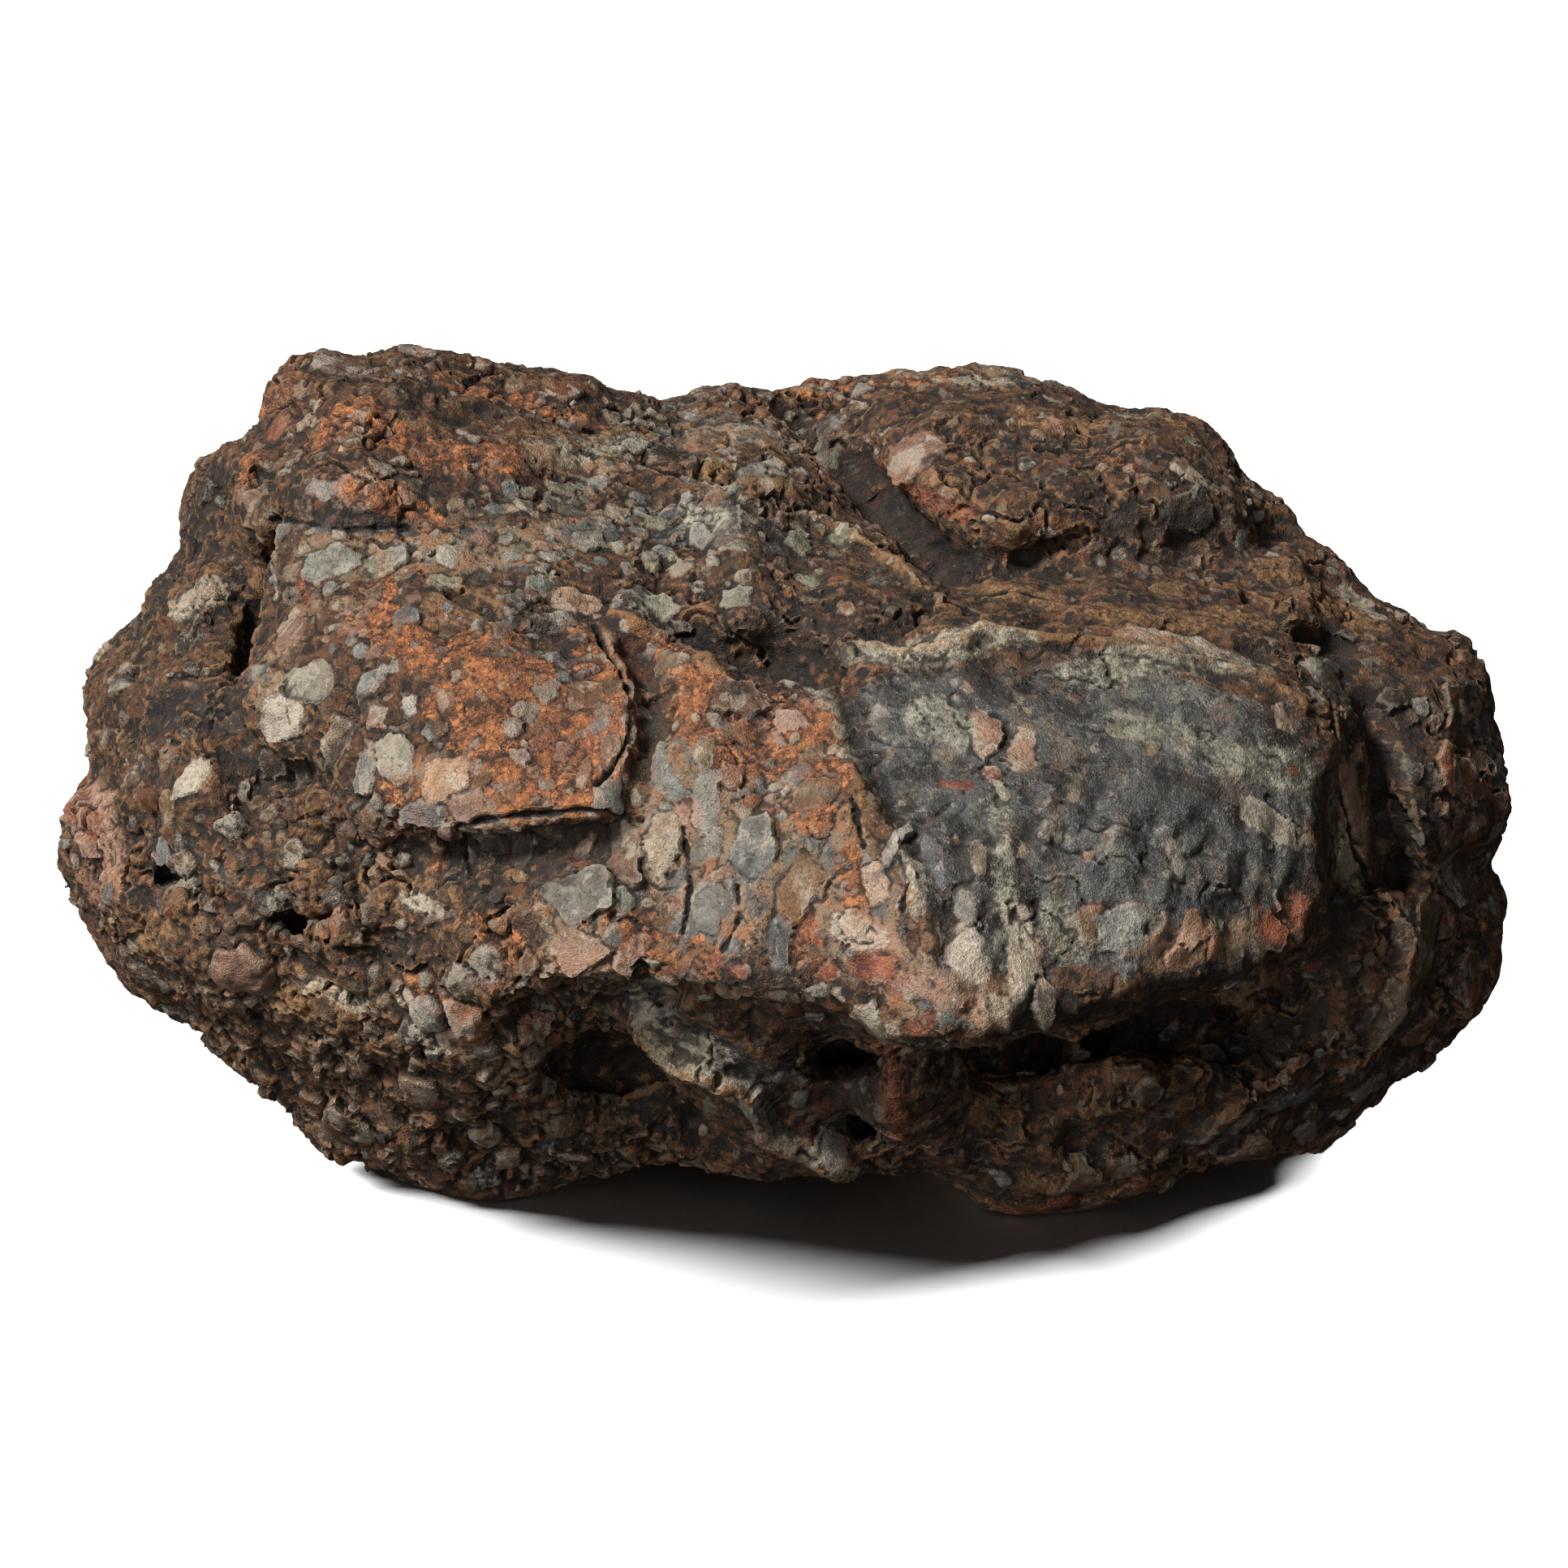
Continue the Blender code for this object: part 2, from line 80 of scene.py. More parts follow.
PHOTO_SIDE = 1932
PX_PER_MM = 13.7
VIEW_TILT = math.radians(25)
VIEW_DISTANCE = 600
SENSOR = 36
VIEW_MIDDLE = np.array((0.2, -7.8, 36.0))
RIGHTWARD = np.array((1.0, 0.0, 0.0))
UPWARD = np.array((0.0, math.sin(VIEW_TILT), math.cos(VIEW_TILT)))
NEARER = np.array((0.0, -math.cos(VIEW_TILT), math.sin(VIEW_TILT)))
EYE = VIEW_MIDDLE + NEARER * VIEW_DISTANCE
LEANING = UPWARD * 0.97 + RIGHTWARD * 0.24  # the way that the splinters of the broken face stand

# Zones of the surface, and how each is made:
# coarse, fine: height of broken facets about 4 to 7 and 1 to 2 mm across
# upright: height of splinters that stand up and down
# bumps: height of rounded pebbles, and grit: height of fine roughness
# crack: depth of the cracks between facets
# cover: share of the surface that chips take, size: a chip's usual half length, long: how drawn out it is
# lift: how far chips stand out, grains: how many grains there are on a square centimetre
# Lengths are in mm.

ZONE_TABLE = """
zone          coarse fine upright bumps grit crack cover size long lift grains
knob          0.5    0.2  0       0.12  0.14 0.3   0.2   1    1.3  0.2  2
chip_band     0.42   0.12 0       0.05  0.06 0.3   0.75  1.35 1.4  0.32 0
middle_blocks 0.6    0.18 0       0.06  0.08 0.4   0.5   1.15 1.3  0.25 1
plate         0.2    0.09 0       0     0.05 0.2   0.34  1    1.4  0.14 0
face          0.26   0.1  0.14    0     0.05 0.2   0.55  1.6  2.2  0.22 0
fracture      0.26   0.1  0.08    0     0.04 0.05  0.04  1    1.3  0.1  0
shards        0.22   0.08 0.32    0     0.04 0.08  0.06  1.6  2.6  0.16 0
pebbly        0.85   0.24 0       0.55  0.2  0.35  0.2   1.35 1.2  0.4  5
left_wall     0.85   0.26 0       0.12  0.18 0.4   0.14  1.1  1.3  0.25 2
dome          0.52   0.2  0       0.06  0.15 0.25  0.1   1.1  1.3  0.15 1
valley        0.34   0.2  0       0     0.14 0.2   0.02  0.8  1.6  0.1  0
hollow_side   0.75   0.2  0       0.08  0.16 0.3   0.05  0.8  1.2  0.15 2
right_lobes   0.6    0.12 0.14    0.16  0.06 0.25  0.1   1.5  1.4  0.12 0
underside     0.6    0.14 0.2     0.06  0.06 0.25  0.1   1.5  1.5  0.12 0
spur          0.6    0.2  0.1     0.06  0.14 0.25  0.08  1.1  1.3  0.14 1
"""
ZONE_TONES = {  # the usual tones of each zone's chips and grains
    "knob": "tan brown grey rust brown pinkish",
    "chip_band": "grey grey blue tan brown cream greenish pinkish",
    "middle_blocks": "grey greenish brown blue tan dark brown",
    "plate": "grey blue tan pinkish brown rust",
    "face": "grey blue tan pinkish cream tan rust",
    "fracture": "grey blue greenish cream pinkish",
    "shards": "grey blue blue greenish cream tan",
    "pebbly": "brown dark brown rust brown dark tan brown",
    "left_wall": "brown dark tan brown dark grey brown",
    "dome": "brown dark tan grey brown pinkish",
    "valley": "brown tan dark",
    "hollow_side": "dark brown grey",
    "right_lobes": "brown dark tan grey rust brown",
    "underside": "brown dark tan grey rust brown",
    "spur": "dark grey brown greenish grey",
}
# The strokes that place the zones, with a slash or a line's end after each: the reach in pixels, and then
# the pixels as x,y. A point is in the zone whose strokes are nearest.
ZONE_STROKES = {
    "knob": "80 420,500 520,480 640,520 720,540 / 50 330,560",
    "chip_band": "45 360,690 470,690 560,690 620,660 720,650 / 40 640,720 720,735",
    "middle_blocks": "60 800,740 830,650 950,640 1040,720 / 50 820,560 960,545",
    "plate": "95 450,780 560,830 650,870 690,900 / 50 500,930 600,960 720,970",
    "face": "80 800,880 860,1000 880,1110 / 80 930,920 980,1050 1050,1120",
    "fracture": "95 1130,880 1300,880 1450,890 1560,940 / 40 1060,870",
    "shards": "85 1190,1060 1400,1060 1550,1060 / 70 1240,1170 1420,1140",
    "pebbly": """
        85 150,1010 180,1100 250,1200 330,1300 450,1390 580,1440 700,1420
        80 300,1060 430,1080 560,1150 640,1260""",
    "left_wall": "60 260,600 230,700 160,800 150,880 / 60 280,780 280,880 380,940",
    "dome": "85 1100,530 1300,520 1460,560 1560,640 / 70 1230,630 1420,660",
    "valley": "40 990,490 1060,600 1150,690 / 40 1200,735 1400,755 1560,760",
    "hollow_side": "45 860,790 960,770 1070,770 / 40 860,840 980,830",
    "right_lobes": "75 1690,800 1780,850 1800,980 / 70 1690,960 / 80 1790,1150 1730,1270",
    "underside": """
        80 1200,1310 1400,1300 1560,1260 / 70 1250,1430 1450,1430 1620,1350 / 60 1060,1320 1100,1400""",
    "spur": "50 800,1240 900,1290 970,1380 1040,1430 / 60 740,1330 850,1390",
}
# The same for the far side, in mm: the reach, and then the places as x,y,z.
FAR_STROKES = {
    "pebbly": "14 -50,14,14 -30,34,12 0,42,12",
    "left_wall": "10 -62,2,22 -58,16,30",
    "chip_band": "12 -50,22,40 -30,36,40 -8,44,34",
    "knob": "12 -40,10,62 -26,22,60",
    "plate": "10 14,46,30 30,42,36",
    "middle_blocks": "12 -6,26,58 10,34,54",
    "dome": "14 20,26,60 40,28,48",
    "right_lobes": "12 58,8,40 60,22,28 46,36,26",
    "underside": "12 30,36,12 52,20,12 20,20,4 -20,10,4",
}
ZONE_SOFTNESS = 2.6  # mm: how far one zone fades into the next

# Where the pigments are, as strokes in pixels; the dark strokes are painted shade

PIGMENT_STROKES = {
    "rust": """
        52 600,800 650,850 690,900 690,950 / 36 740,810 755,870 745,930 710,975 / 40 560,860 610,930 650,985
        30 460,760 520,800 570,830 / 26 480,970 505,985 / 15 703,770 730,800 757,840
        32 790,800 835,845 900,862 960,885 1010,905 / 26 830,870 870,905 / 28 900,930 980,935 1030,955
        24 1000,1010 / 15 790,880 800,960 / 22 815,1160 870,1185 / 20 985,1130 995,1180
        16 1045,1060 1060,1130 / 30 390,540 440,510 520,550 620,560 / 22 330,500 360,470
        18 440,600 500,625 530,640 / 22 560,470 650,490 / 14 660,500 730,520 / 12 470,680 480,730
        14 310,560 300,590 / 12 365,700 375,740 / 18 600,1140 640,1180 / 14 760,1130 780,1170
        16 510,1210 540,1240 / 14 520,1010 540,1060""",
    "tan": """
        24 1180,715 1300,740 1400,758 1550,762 / 26 370,1050 430,1100 / 24 500,1010 540,1060
        36 350,1215 460,1260 / 30 480,1090 570,1130 / 30 640,545 740,545 790,530
        18 1000,640 1080,680 1160,740 / 26 1110,560 1180,590 / 22 1270,515 1340,525 / 28 1570,700 1680,770
        20 860,600 900,560 / 18 1060,1000 1040,1060 / 30 620,1180 700,1220 / 24 230,1130 180,1150
        20 1450,520 1560,620 / 18 1420,1180 1480,1160 / 30 500,760 600,740 / 24 1640,900 1655,980
        16 960,960 990,1070 970,1110 / 42 820,1275 900,1310 960,1350 / 30 860,520 950,520
        24 1280,1465 1380,1470""",
    "flesh": """
        70 800,900 860,1000 880,1120 / 72 930,930 980,1050 1040,1120 / 42 700,1110 720,1190
        40 480,960 580,990 / 36 390,690 600,680 710,660 / 36 100,980 130,1080
        36 1060,1140 1130,1220 1240,1240 / 26 1350,1140 1480,1165 1570,1140 / 28 540,1260 620,1320
        32 300,1200 / 28 440,600 / 26 1660,960 1670,1040 / 24 360,770 350,800 / 26 330,850 360,890
        24 240,955 / 22 660,560 740,580 / 30 860,540 960,540 / 22 1390,785 1490,800""",
    "grey": """
        85 1130,900 1300,880 1450,900 1555,950 / 80 1190,1060 1400,1060 1550,1060
        42 1120,975 1350,980 1560,1000 / 60 1240,1180 / 50 1370,1150 / 36 1460,1130 / 34 840,540 960,530
        40 820,640 900,640 / 30 800,750 / 26 950,660 / 42 925,1045 / 26 800,1030 780,1090 / 28 870,1110
        20 960,1160 / 26 1820,860 1840,950 / 30 780,1230 860,1290 950,1330 / 52 1380,1290 1430,1280
        26 690,660 740,650 / 22 600,680 640,690 / 24 1640,1000 / 26 1430,500 1500,520
        22 1500,1400 1600,1350""",
    "green": """
        19 1046,800 1110,814 1170,806 1210,778 1260,786 / 26 1140,880 1180,900
        26 1390,890 1500,930 1600,950 / 11 1010,850 1040,910 1062,960 / 22 850,630 880,640 / 24 800,748
        16 690,610 730,600 / 22 690,560 780,540 / 20 1300,1130 1320,1170 / 24 1330,830 1420,810 1540,820
        14 1230,990 1240,1090 1235,1180""",
    "cream": """
        15 1380,768 1450,778 1490,800 / 20 1175,1150 1200,1195 / 15 1255,1130 1262,1230
        13 375,1212 445,1238 / 10 500,1104 545,1124 / 20 820,1285 880,1300 / 20 1100,808 1230,780
        20 1545,1000 1590,1030 / 22 225,745 260,730 / 16 100,820 120,800 / 18 240,955
        12 1130,1060 1130,1120 / 9 770,770 830,800 / 16 1650,1040 1665,1090 / 18 1040,1140 1075,1160
        17 790,1250 830,1310 920,1340 950,1400 1040,1437 / 9 1100,1265 1115,1290 / 14 500,1225 540,1290
        10 885,600 960,606 1000,640 / 12 1160,470 1240,470 / 14 1660,730 1700,760""",
    "jasper": """
        13 1070,572 1120,600 1185,636 / 8 1370,566 1400,572 / 17 1060,1190 1095,1188 / 11 911,1197
        9 880,1184 / 22 1575,1140 1600,1120 / 7 1225,952 / 7 1160,962 1195,968 / 8 1595,950
        6 930,998 960,1000 / 15 1090,1290 1110,1400 / 15 1385,1460 1430,1455 / 20 1810,1230 1800,1270
        10 1620,1190 / 12 1285,1335 / 12 1740,1210 / 8 325,760 / 9 300,832 / 20 90,985 110,1020
        9 1022,1197 / 10 1130,1270 1150,1250 / 8 700,1270 / 9 560,1270 / 12 1240,1490 1330,1478
        10 1830,1140""",
    "pink": """
        34 100,980 130,1050 110,1090 / 24 1060,1150 1090,1170 / 13 1216,903 / 13 1261,924
        18 690,1190 730,1190 / 16 1130,1210 1160,1220 / 16 1200,1240 / 20 960,900 1000,870
        20 1660,960 1670,1040 / 26 440,600 480,610 / 18 900,960 905,940 / 22 1480,1160 1440,1175
        18 850,1000 / 16 1300,520""",
    # Painted shade: these strokes lie in the hollows, valleys and undersides that are in shadow.
    "dark": """
        28 990,500 1050,590 1120,670 1190,700 / 34 860,800 960,770 1030,790 / 22 1070,770 1130,740
        38 250,600 235,680 190,770 / 14 160,830 / 34 190,880 300,870 / 11 335,650 330,720 300,810
        16 440,870 400,950 300,940 / 16 640,745 700,790 715,830 / 12 555,728 600,740 / 24 560,1070 600,1110
        20 700,1230 770,1240 / 32 1260,1260 1400,1235 1560,1190 / 38 1700,860 1730,960 1760,1040
        28 1650,1110 1640,1190 / 32 1010,1290 1060,1350 / 20 1050,874 / 18 1200,830 1230,860
        10 1428,952 1502,977 / 16 1150,570 1190,590 / 26 1290,600 1400,640 1480,640 / 16 1270,690 1290,680
        30 730,1330 820,1385 / 14 400,640 500,645 / 16 640,1050 700,1080 / 24 1640,850 1650,780
        13 560,1040 640,1030 740,1024 / 12 600,770 640,790 660,820 / 10 540,900 520,850
        20 850,1210 960,1215 / 16 380,560 370,600 / 9 1180,1040 1195,1090 / 8 1260,1010 1290,1060
        26 1500,1320 1620,1240""",
}
PIGMENT_SOFTNESS = 0.55  # share of a stroke's reach over which its edge fades
FAR_SPREAD = {  # how far each pigment spreads on the far side, where it lies in patches
    "rust": 0.39, "tan": 0.44, "flesh": 0.39, "grey": 0.44, "green": 0.26,
    "cream": 0.25, "jasper": 0.18, "pink": 0.22, "dark": 0.46,
}

# Chips that stand out: x, y, width and height in pixels, lean in degrees, and tone

NOTED_CHIPS = """
    403 693 80 48 -6 grey / 473 690 57 48 10 greenish / 550 684 29 41 0 white / 722 665 51 41 15 grey
    627 687 34 30 0 grey / 709 741 57 35 -20 pinkish / 665 719 40 34 20 grey / 359 773 45 64 -25 pinkish
    384 748 22 25 0 tan / 381 843 67 42 8 greenish / 352 891 64 54 0 white / 422 910 46 64 -15 cream
    461 840 26 57 -35 blue / 467 885 30 32 0 pinkish / 486 936 52 68 -8 white / 448 955 28 46 -12 grey
    545 965 62 66 20 pinkish / 572 990 48 46 0 pinkish / 521 1003 66 34 12 blue / 591 952 30 36 0 tan
    537 897 34 28 0 grey / 502 872 26 26 0 grey / 674 850 34 26 20 grey / 646 876 38 24 -20 grey
    630 894 32 24 0 grey / 751 926 26 41 0 pinkish / 748 974 36 46 10 blue / 678 1025 40 14 -10 pinkish
    601 1038 28 36 30 grey / 646 1047 32 34 0 blue / 773 1046 32 84 -8 pinkish / 770 1110 26 46 -12 grey
    815 748 48 48 0 greenish / 812 1053 44 104 -10 cream / 867 990 36 84 -8 grey / 846 1003 18 40 0 pinkish
    870 1118 50 76 5 grey / 929 1046 70 86 0 blue / 987 1091 50 100 -5 tan / 963 1166 28 88 -8 blue
    973 887 45 36 0 blue / 905 953 34 34 0 pinkish / 712 1105 80 80 0 grey / 712 1178 84 50 0 pinkish
    1080 1086 40 48 0 cream / 1056 1135 36 42 0 pinkish / 1132 1218 52 30 12 plum
    1188 1172 46 56 -30 white / 1235 1240 40 44 0 cream / 1257 1181 44 118 8 cream
    1288 1228 30 56 20 cream / 1216 903 34 78 8 pinkish / 1261 924 32 62 -6 pinkish / 1375 1140 70 62 0 blue
    1342 1144 30 50 10 tan / 1473 1148 44 46 0 tan / 1453 1181 40 34 0 pinkish / 240 955 62 32 12 white
    205 1000 42 40 0 tan / 200 1050 30 44 -20 blue / 300 1200 84 60 8 pinkish / 575 1265 54 56 10 rust
    525 1250 44 42 20 grey / 598 1296 30 40 0 grey / 535 1298 26 24 0 grey / 655 1330 34 26 0 brown
    1078 1190 62 38 -12 jasper / 1567 1144 60 48 -20 jasper / 911 1197 26 22 0 jasper
    880 1184 22 22 0 jasper / 1022 1197 34 20 10 jasper / 1224 954 24 24 20 jasper / 760 1250 40 22 30 grey
    620 1320 22 18 0 tan / 470 575 48 24 0 pinkish / 400 605 44 22 10 grey / 466 433 34 20 0 pinkish
    525 430 36 18 0 pinkish / 690 600 40 28 0 greenish / 737 596 34 26 0 grey / 500 615 30 24 0 pinkish
    560 640 30 20 0 tan / 1106 1210 36 22 20 rust / 1170 1235 50 24 8 pinkish / 1100 1040 22 60 -25 grey
    1150 1060 22 74 18 blue / 1186 1110 26 60 20 grey / 1575 880 26 40 10 cream / 1640 820 30 30 0 cream
    1655 1060 44 60 -20 cream / 1400 790 60 22 6 pinkish / 860 660 40 34 0 grey / 905 735 40 36 0 grey
    840 700 40 30 20 brown / 960 700 34 30 0 brown / 1390 1290 60 44 -10 grey
"""
ROUND_BELOW = 1150  # chips lower than this pixel and left of the next one are rounded pebbles
ROUND_LEFT_OF = 700
TONES = {  # sRGB
    "grey": (0.58, 0.57, 0.55), "blue": (0.52, 0.54, 0.55), "white": (0.72, 0.69, 0.65),
    "cream": (0.69, 0.62, 0.54), "greenish": (0.59, 0.58, 0.50), "pinkish": (0.66, 0.52, 0.44),
    "tan": (0.56, 0.43, 0.31), "brown": (0.42, 0.30, 0.20), "rust": (0.60, 0.38, 0.26),
    "jasper": (0.46, 0.22, 0.14), "plum": (0.42, 0.32, 0.30), "dark": (0.24, 0.20, 0.17),
}
WARMTH = np.array((1.0, 0.94, 0.83))  # the ochre that stains all chips

# Cracks: depth and half width in mm, and then the pixels

CRACKS = """
    1.3 0.28 733,768 745,792 767,824 780,862 778,891 769,928 748,950 735,965
    0.9 0.3 560,1022 601,1010 649,1006 697,1000 738,1000 789,1010
    0.8 0.3 328,690 322,740 300,800 286,835
    0.6 0.22 1100,1040 1118,1080 1112,1120
    0.6 0.25 1050,985 1056,1010 1064,1040
    0.5 0.22 1190,735 1260,730 1330,745
    0.5 0.25 1280,548 1340,552 1400,545
    0.7 0.3 1255,690 1280,676 1320,668
    0.5 0.22 620,760 660,775 700,772 735,765
    0.6 0.25 1640,860 1652,960 1668,1040 1690,1090
    0.5 0.2 350,640 420,652 500,648
    0.6 0.3 1010,830 1040,816 1065,790
    0.5 0.2 906,1090 912,1130 890,1170
    0.5 0.2 842,1020 850,1090 842,1150
"""

# Forms sharpened on the skin: height in mm, below zero inward, reach in pixels, and then the pixels

FORMS = """
    -2.6 40 870,800 950,815 1010,830 / -1.3 26 1080,778 1160,752 1260,765 1360,757 1480,775 1560,800
    -0.7 30 1060,905 1090,970 1138,1040 1162,1110 1184,1180
    -4.2 38 1210,1305 1300,1283 1400,1262 1500,1232 1590,1196 / -2.6 36 985,500 1060,600 1120,665 1180,712
    -2.2 15 334,640 326,720 296,820 / -2 15 322,580 / -2.8 16 345,1142 400,1128 432,1108 / -2 13 788,1197
    -2.4 18 690,1222 760,1240 850,1220 960,1228 1030,1240 / -3.2 46 700,1310 780,1330 860,1385
    -2.2 26 1030,1290 1080,1300 / -2.2 26 1070,1385 / -2.2 26 1690,860 1704,960 1732,1080
    -1.6 14 1540,735 1600,775 1650,790 / -1.4 12 560,730 640,768 700,776
    -0.9 26 782,800 806,860 806,900 790,945 / -1.1 26 560,1050 650,1042 750,1040
    -1.6 14 1255,690 1290,676 1330,662 / -1.2 14 205,1075 245,1100 / -1.6 13 160,830
    -1.8 16 240,1275 285,1285 / -1.5 18 430,880 400,950 330,965
    0.5 16 1022,886 1052,960 1112,1040 1136,1110 1150,1200
    0.9 12 1046,798 1110,812 1170,800 1210,778 1262,786 1390,800 1540,832 1600,872
    1.3 12 1700,1106 1734,1150 1712,1240 1668,1310 / 1.4 17 770,1240 830,1310 920,1340 945,1400 1050,1440
    1.1 12 1480,1400 1540,1350 1640,1290 / 0.9 11 836,612 960,606 1010,640 1080,680 1160,742
    0.9 10 754,760 808,786 850,815 905,845 / 1.4 26 390,1158 / 1.2 22 1800,1240 / 1 24 640,1290 600,1275
"""

# How finely the skin is made, in mm where nothing else is said

SKIN_STEP = 0.36
SKIN_SMOOTHINGS = 7
MOST_TRIANGLES = 198000  # in one piece of the skin
SKIN_SHARP_DEGREES = 38
OUTWARD_MOST = 1.0
INWARD_MOST = 1.6
FORM_HEIGHT = 1.4
FORM_DEPTH = 4.5
FLOOR_CALM = 2.4  # the height within which the skin comes down to the solid's shape
STRETCH_PIXELS = 30
LONGEST_STRETCH = 9.0  # a longer one jumps over a hollow and is left out
NEAR_EVENINGS = 3  # times that the skin is evened, to tell small hollows and then broad ones
FAR_EVENINGS = 26
HOLLOW_DEPTH = 0.11  # below its evened surface, where a place counts as fully hollow
BROAD_HOLLOW_DEPTH = 0.6
SEED = 17
CHIP_TRIES = 30000
GRID_STEP = 3.0  # of the grid that finds a chip's neighbours
GRAIN_SHAPES = 18
GRAIN_SHARP_DEGREES = 24
HALF = (0.5, 0.5, 0.5)
FLOOR_HALF = 4  # metres
FLOOR_GAP = 0.0002  # metres below the stone


# Reading the tables


def words_of(text):
    """The words of each row of a text, where a row ends at a slash or at the line's end."""
    return [row.split() for row in text.replace("/", "\n").strip().splitlines()]


def rows(text):
    """The rows of a text as numbers and then a list of places, which are the words with commas."""
    found = []
    for words in words_of(text):
        numbers = [float(word) for word in words if "," not in word]
        places = [tuple(float(number) for number in word.split(",")) for word in words if "," in word]
        found.append((*numbers, places))
    return found


def zones_in(text):
    """Each zone's numbers by the words of the first row, and its tones."""
    (_, *heads), *found = words_of(text)
    zones = {name: dict(zip(heads, map(float, numbers))) for name, *numbers in found}
    for name, zone in zones.items():
        zone["tones"] = ZONE_TONES[name].split()
    return zones


ZONES = zones_in(ZONE_TABLE)

# Noise


def hashed(cell, salt):
    """Three steady random numbers, 0 to 1, for each whole-number cell."""
    x, y, z = cell.astype(np.int64).T
    base = (x * 73856093) ^ (y * 19349663) ^ (z * 83492791) ^ (salt * 1640531527)
    low_bits = np.uint64(0xFFFFFFFF)
    numbers = []
    for turn in range(1, 4):
        h = ((base + turn * 0x9E3779B9) & 0xFFFFFFFF).astype(np.uint64)
        h = ((h ^ (h >> np.uint64(16))) * np.uint64(0x85EBCA6B)) & low_bits
        h = ((h ^ (h >> np.uint64(13))) * np.uint64(0xC2B2AE35)) & low_bits
        h = h ^ (h >> np.uint64(16))
        numbers.append(h.astype(np.float64) / 0xFFFFFFFF)
    return np.stack(numbers, axis=1)


def noise(points, size, salt):
    """Smooth noise, about -1 to 1, whose lumps are size across."""
    at = points / size
    low = np.floor(at)
    within = at - low
    fade = within**3 * (within * (within * 6 - 15) + 10)
    total = np.zeros(len(points))
    for corner in np.ndindex(2, 2, 2):
        slope = hashed(low + corner, salt) * 2 - 1
        share = np.prod(np.where(corner, fade, 1 - fade), axis=1)
        total += share * (slope * (within - corner)).sum(axis=1)
    return total * 1.7


def fractal(points, size, octaves, salt):
    """Noise with finer noise on it."""
    return sum(noise(points, size / 2**k, salt + k) * 0.5**k for k in range(octaves))


def mosaic(points, size, salt):
    """Irregular cells about size across.

    Gives the distance to a cell's border, the cell's three random numbers, and the way from its middle.
    """
    at = points / size
    low = np.floor(at)
    nearest = np.full(len(at), 9.0)
    second = nearest.copy()
    owner = np.zeros(at.shape)
    way = np.zeros(at.shape)
    for step in np.ndindex(3, 3, 3):
        cell = low + (np.array(step) - 1)
        random = hashed(cell, salt)
        off = at - cell - (0.12 + 0.76 * random)
        distance = np.sqrt((off * off).sum(axis=1))
        closer = distance < nearest
        second = np.where(closer, nearest, np.minimum(second, distance))
        nearest = np.where(closer, distance, nearest)
        owner[closer] = random[closer]
        way[closer] = off[closer]
    return (second - nearest) * size / 2, owner, way * size


def smooth_step(value, low, high):
    share = np.clip((value - low) / (high - low), 0, 1)
    return share * share * (3 - 2 * share)


# Places on the stone


def on_stone(surface, x, y):
    """The point and outward normal, in mm, where a pixel of the photograph meets the stone."""
    across, up = (x - PHOTO_SIDE / 2) / PX_PER_MM, (PHOTO_SIDE / 2 - y) / PX_PER_MM
    aim = across * RIGHTWARD + up * UPWARD - NEARER * VIEW_DISTANCE
    place, normal, _, _ = surface.ray_cast(Vector(EYE), Vector(aim))
    if place is None:
        return None
    return np.array(place), np.array(normal)


def segments(surface, pixels):
    """The stretches of a line of pixels laid on the stone, as pairs of points in mm."""
    places = []
    for (x0, y0), (x1, y1) in zip(pixels, pixels[1:] or pixels):
        pieces = max(1, round(math.dist((x0, y0), (x1, y1)) / STRETCH_PIXELS))
        places += [(x0 + (x1 - x0) * k / pieces, y0 + (y1 - y0) * k / pieces) for k in range(pieces)]
    places.append(pixels[-1])
    found = [on_stone(surface, x, y) for x, y in places]
    points = [f[0] for f in found if f]
    pairs = [(a, b) for a, b in zip(points, points[1:]) if np.linalg.norm(b - a) < LONGEST_STRETCH]
    return pairs or [(p, p) for p in points[:1]]


def distance_to(points, pairs):
    """Each point's distance in mm to the nearest of the stretches."""
    nearest = np.full(len(points), 1e9)
    for a, b in pairs:
        along = b - a
        length = max(along @ along, 1e-9)
        share = np.clip((points - a) @ along / length, 0, 1)
        off = points - a - share[:, None] * along
        nearest = np.minimum(nearest, (off * off).sum(axis=1))
    return np.sqrt(nearest)


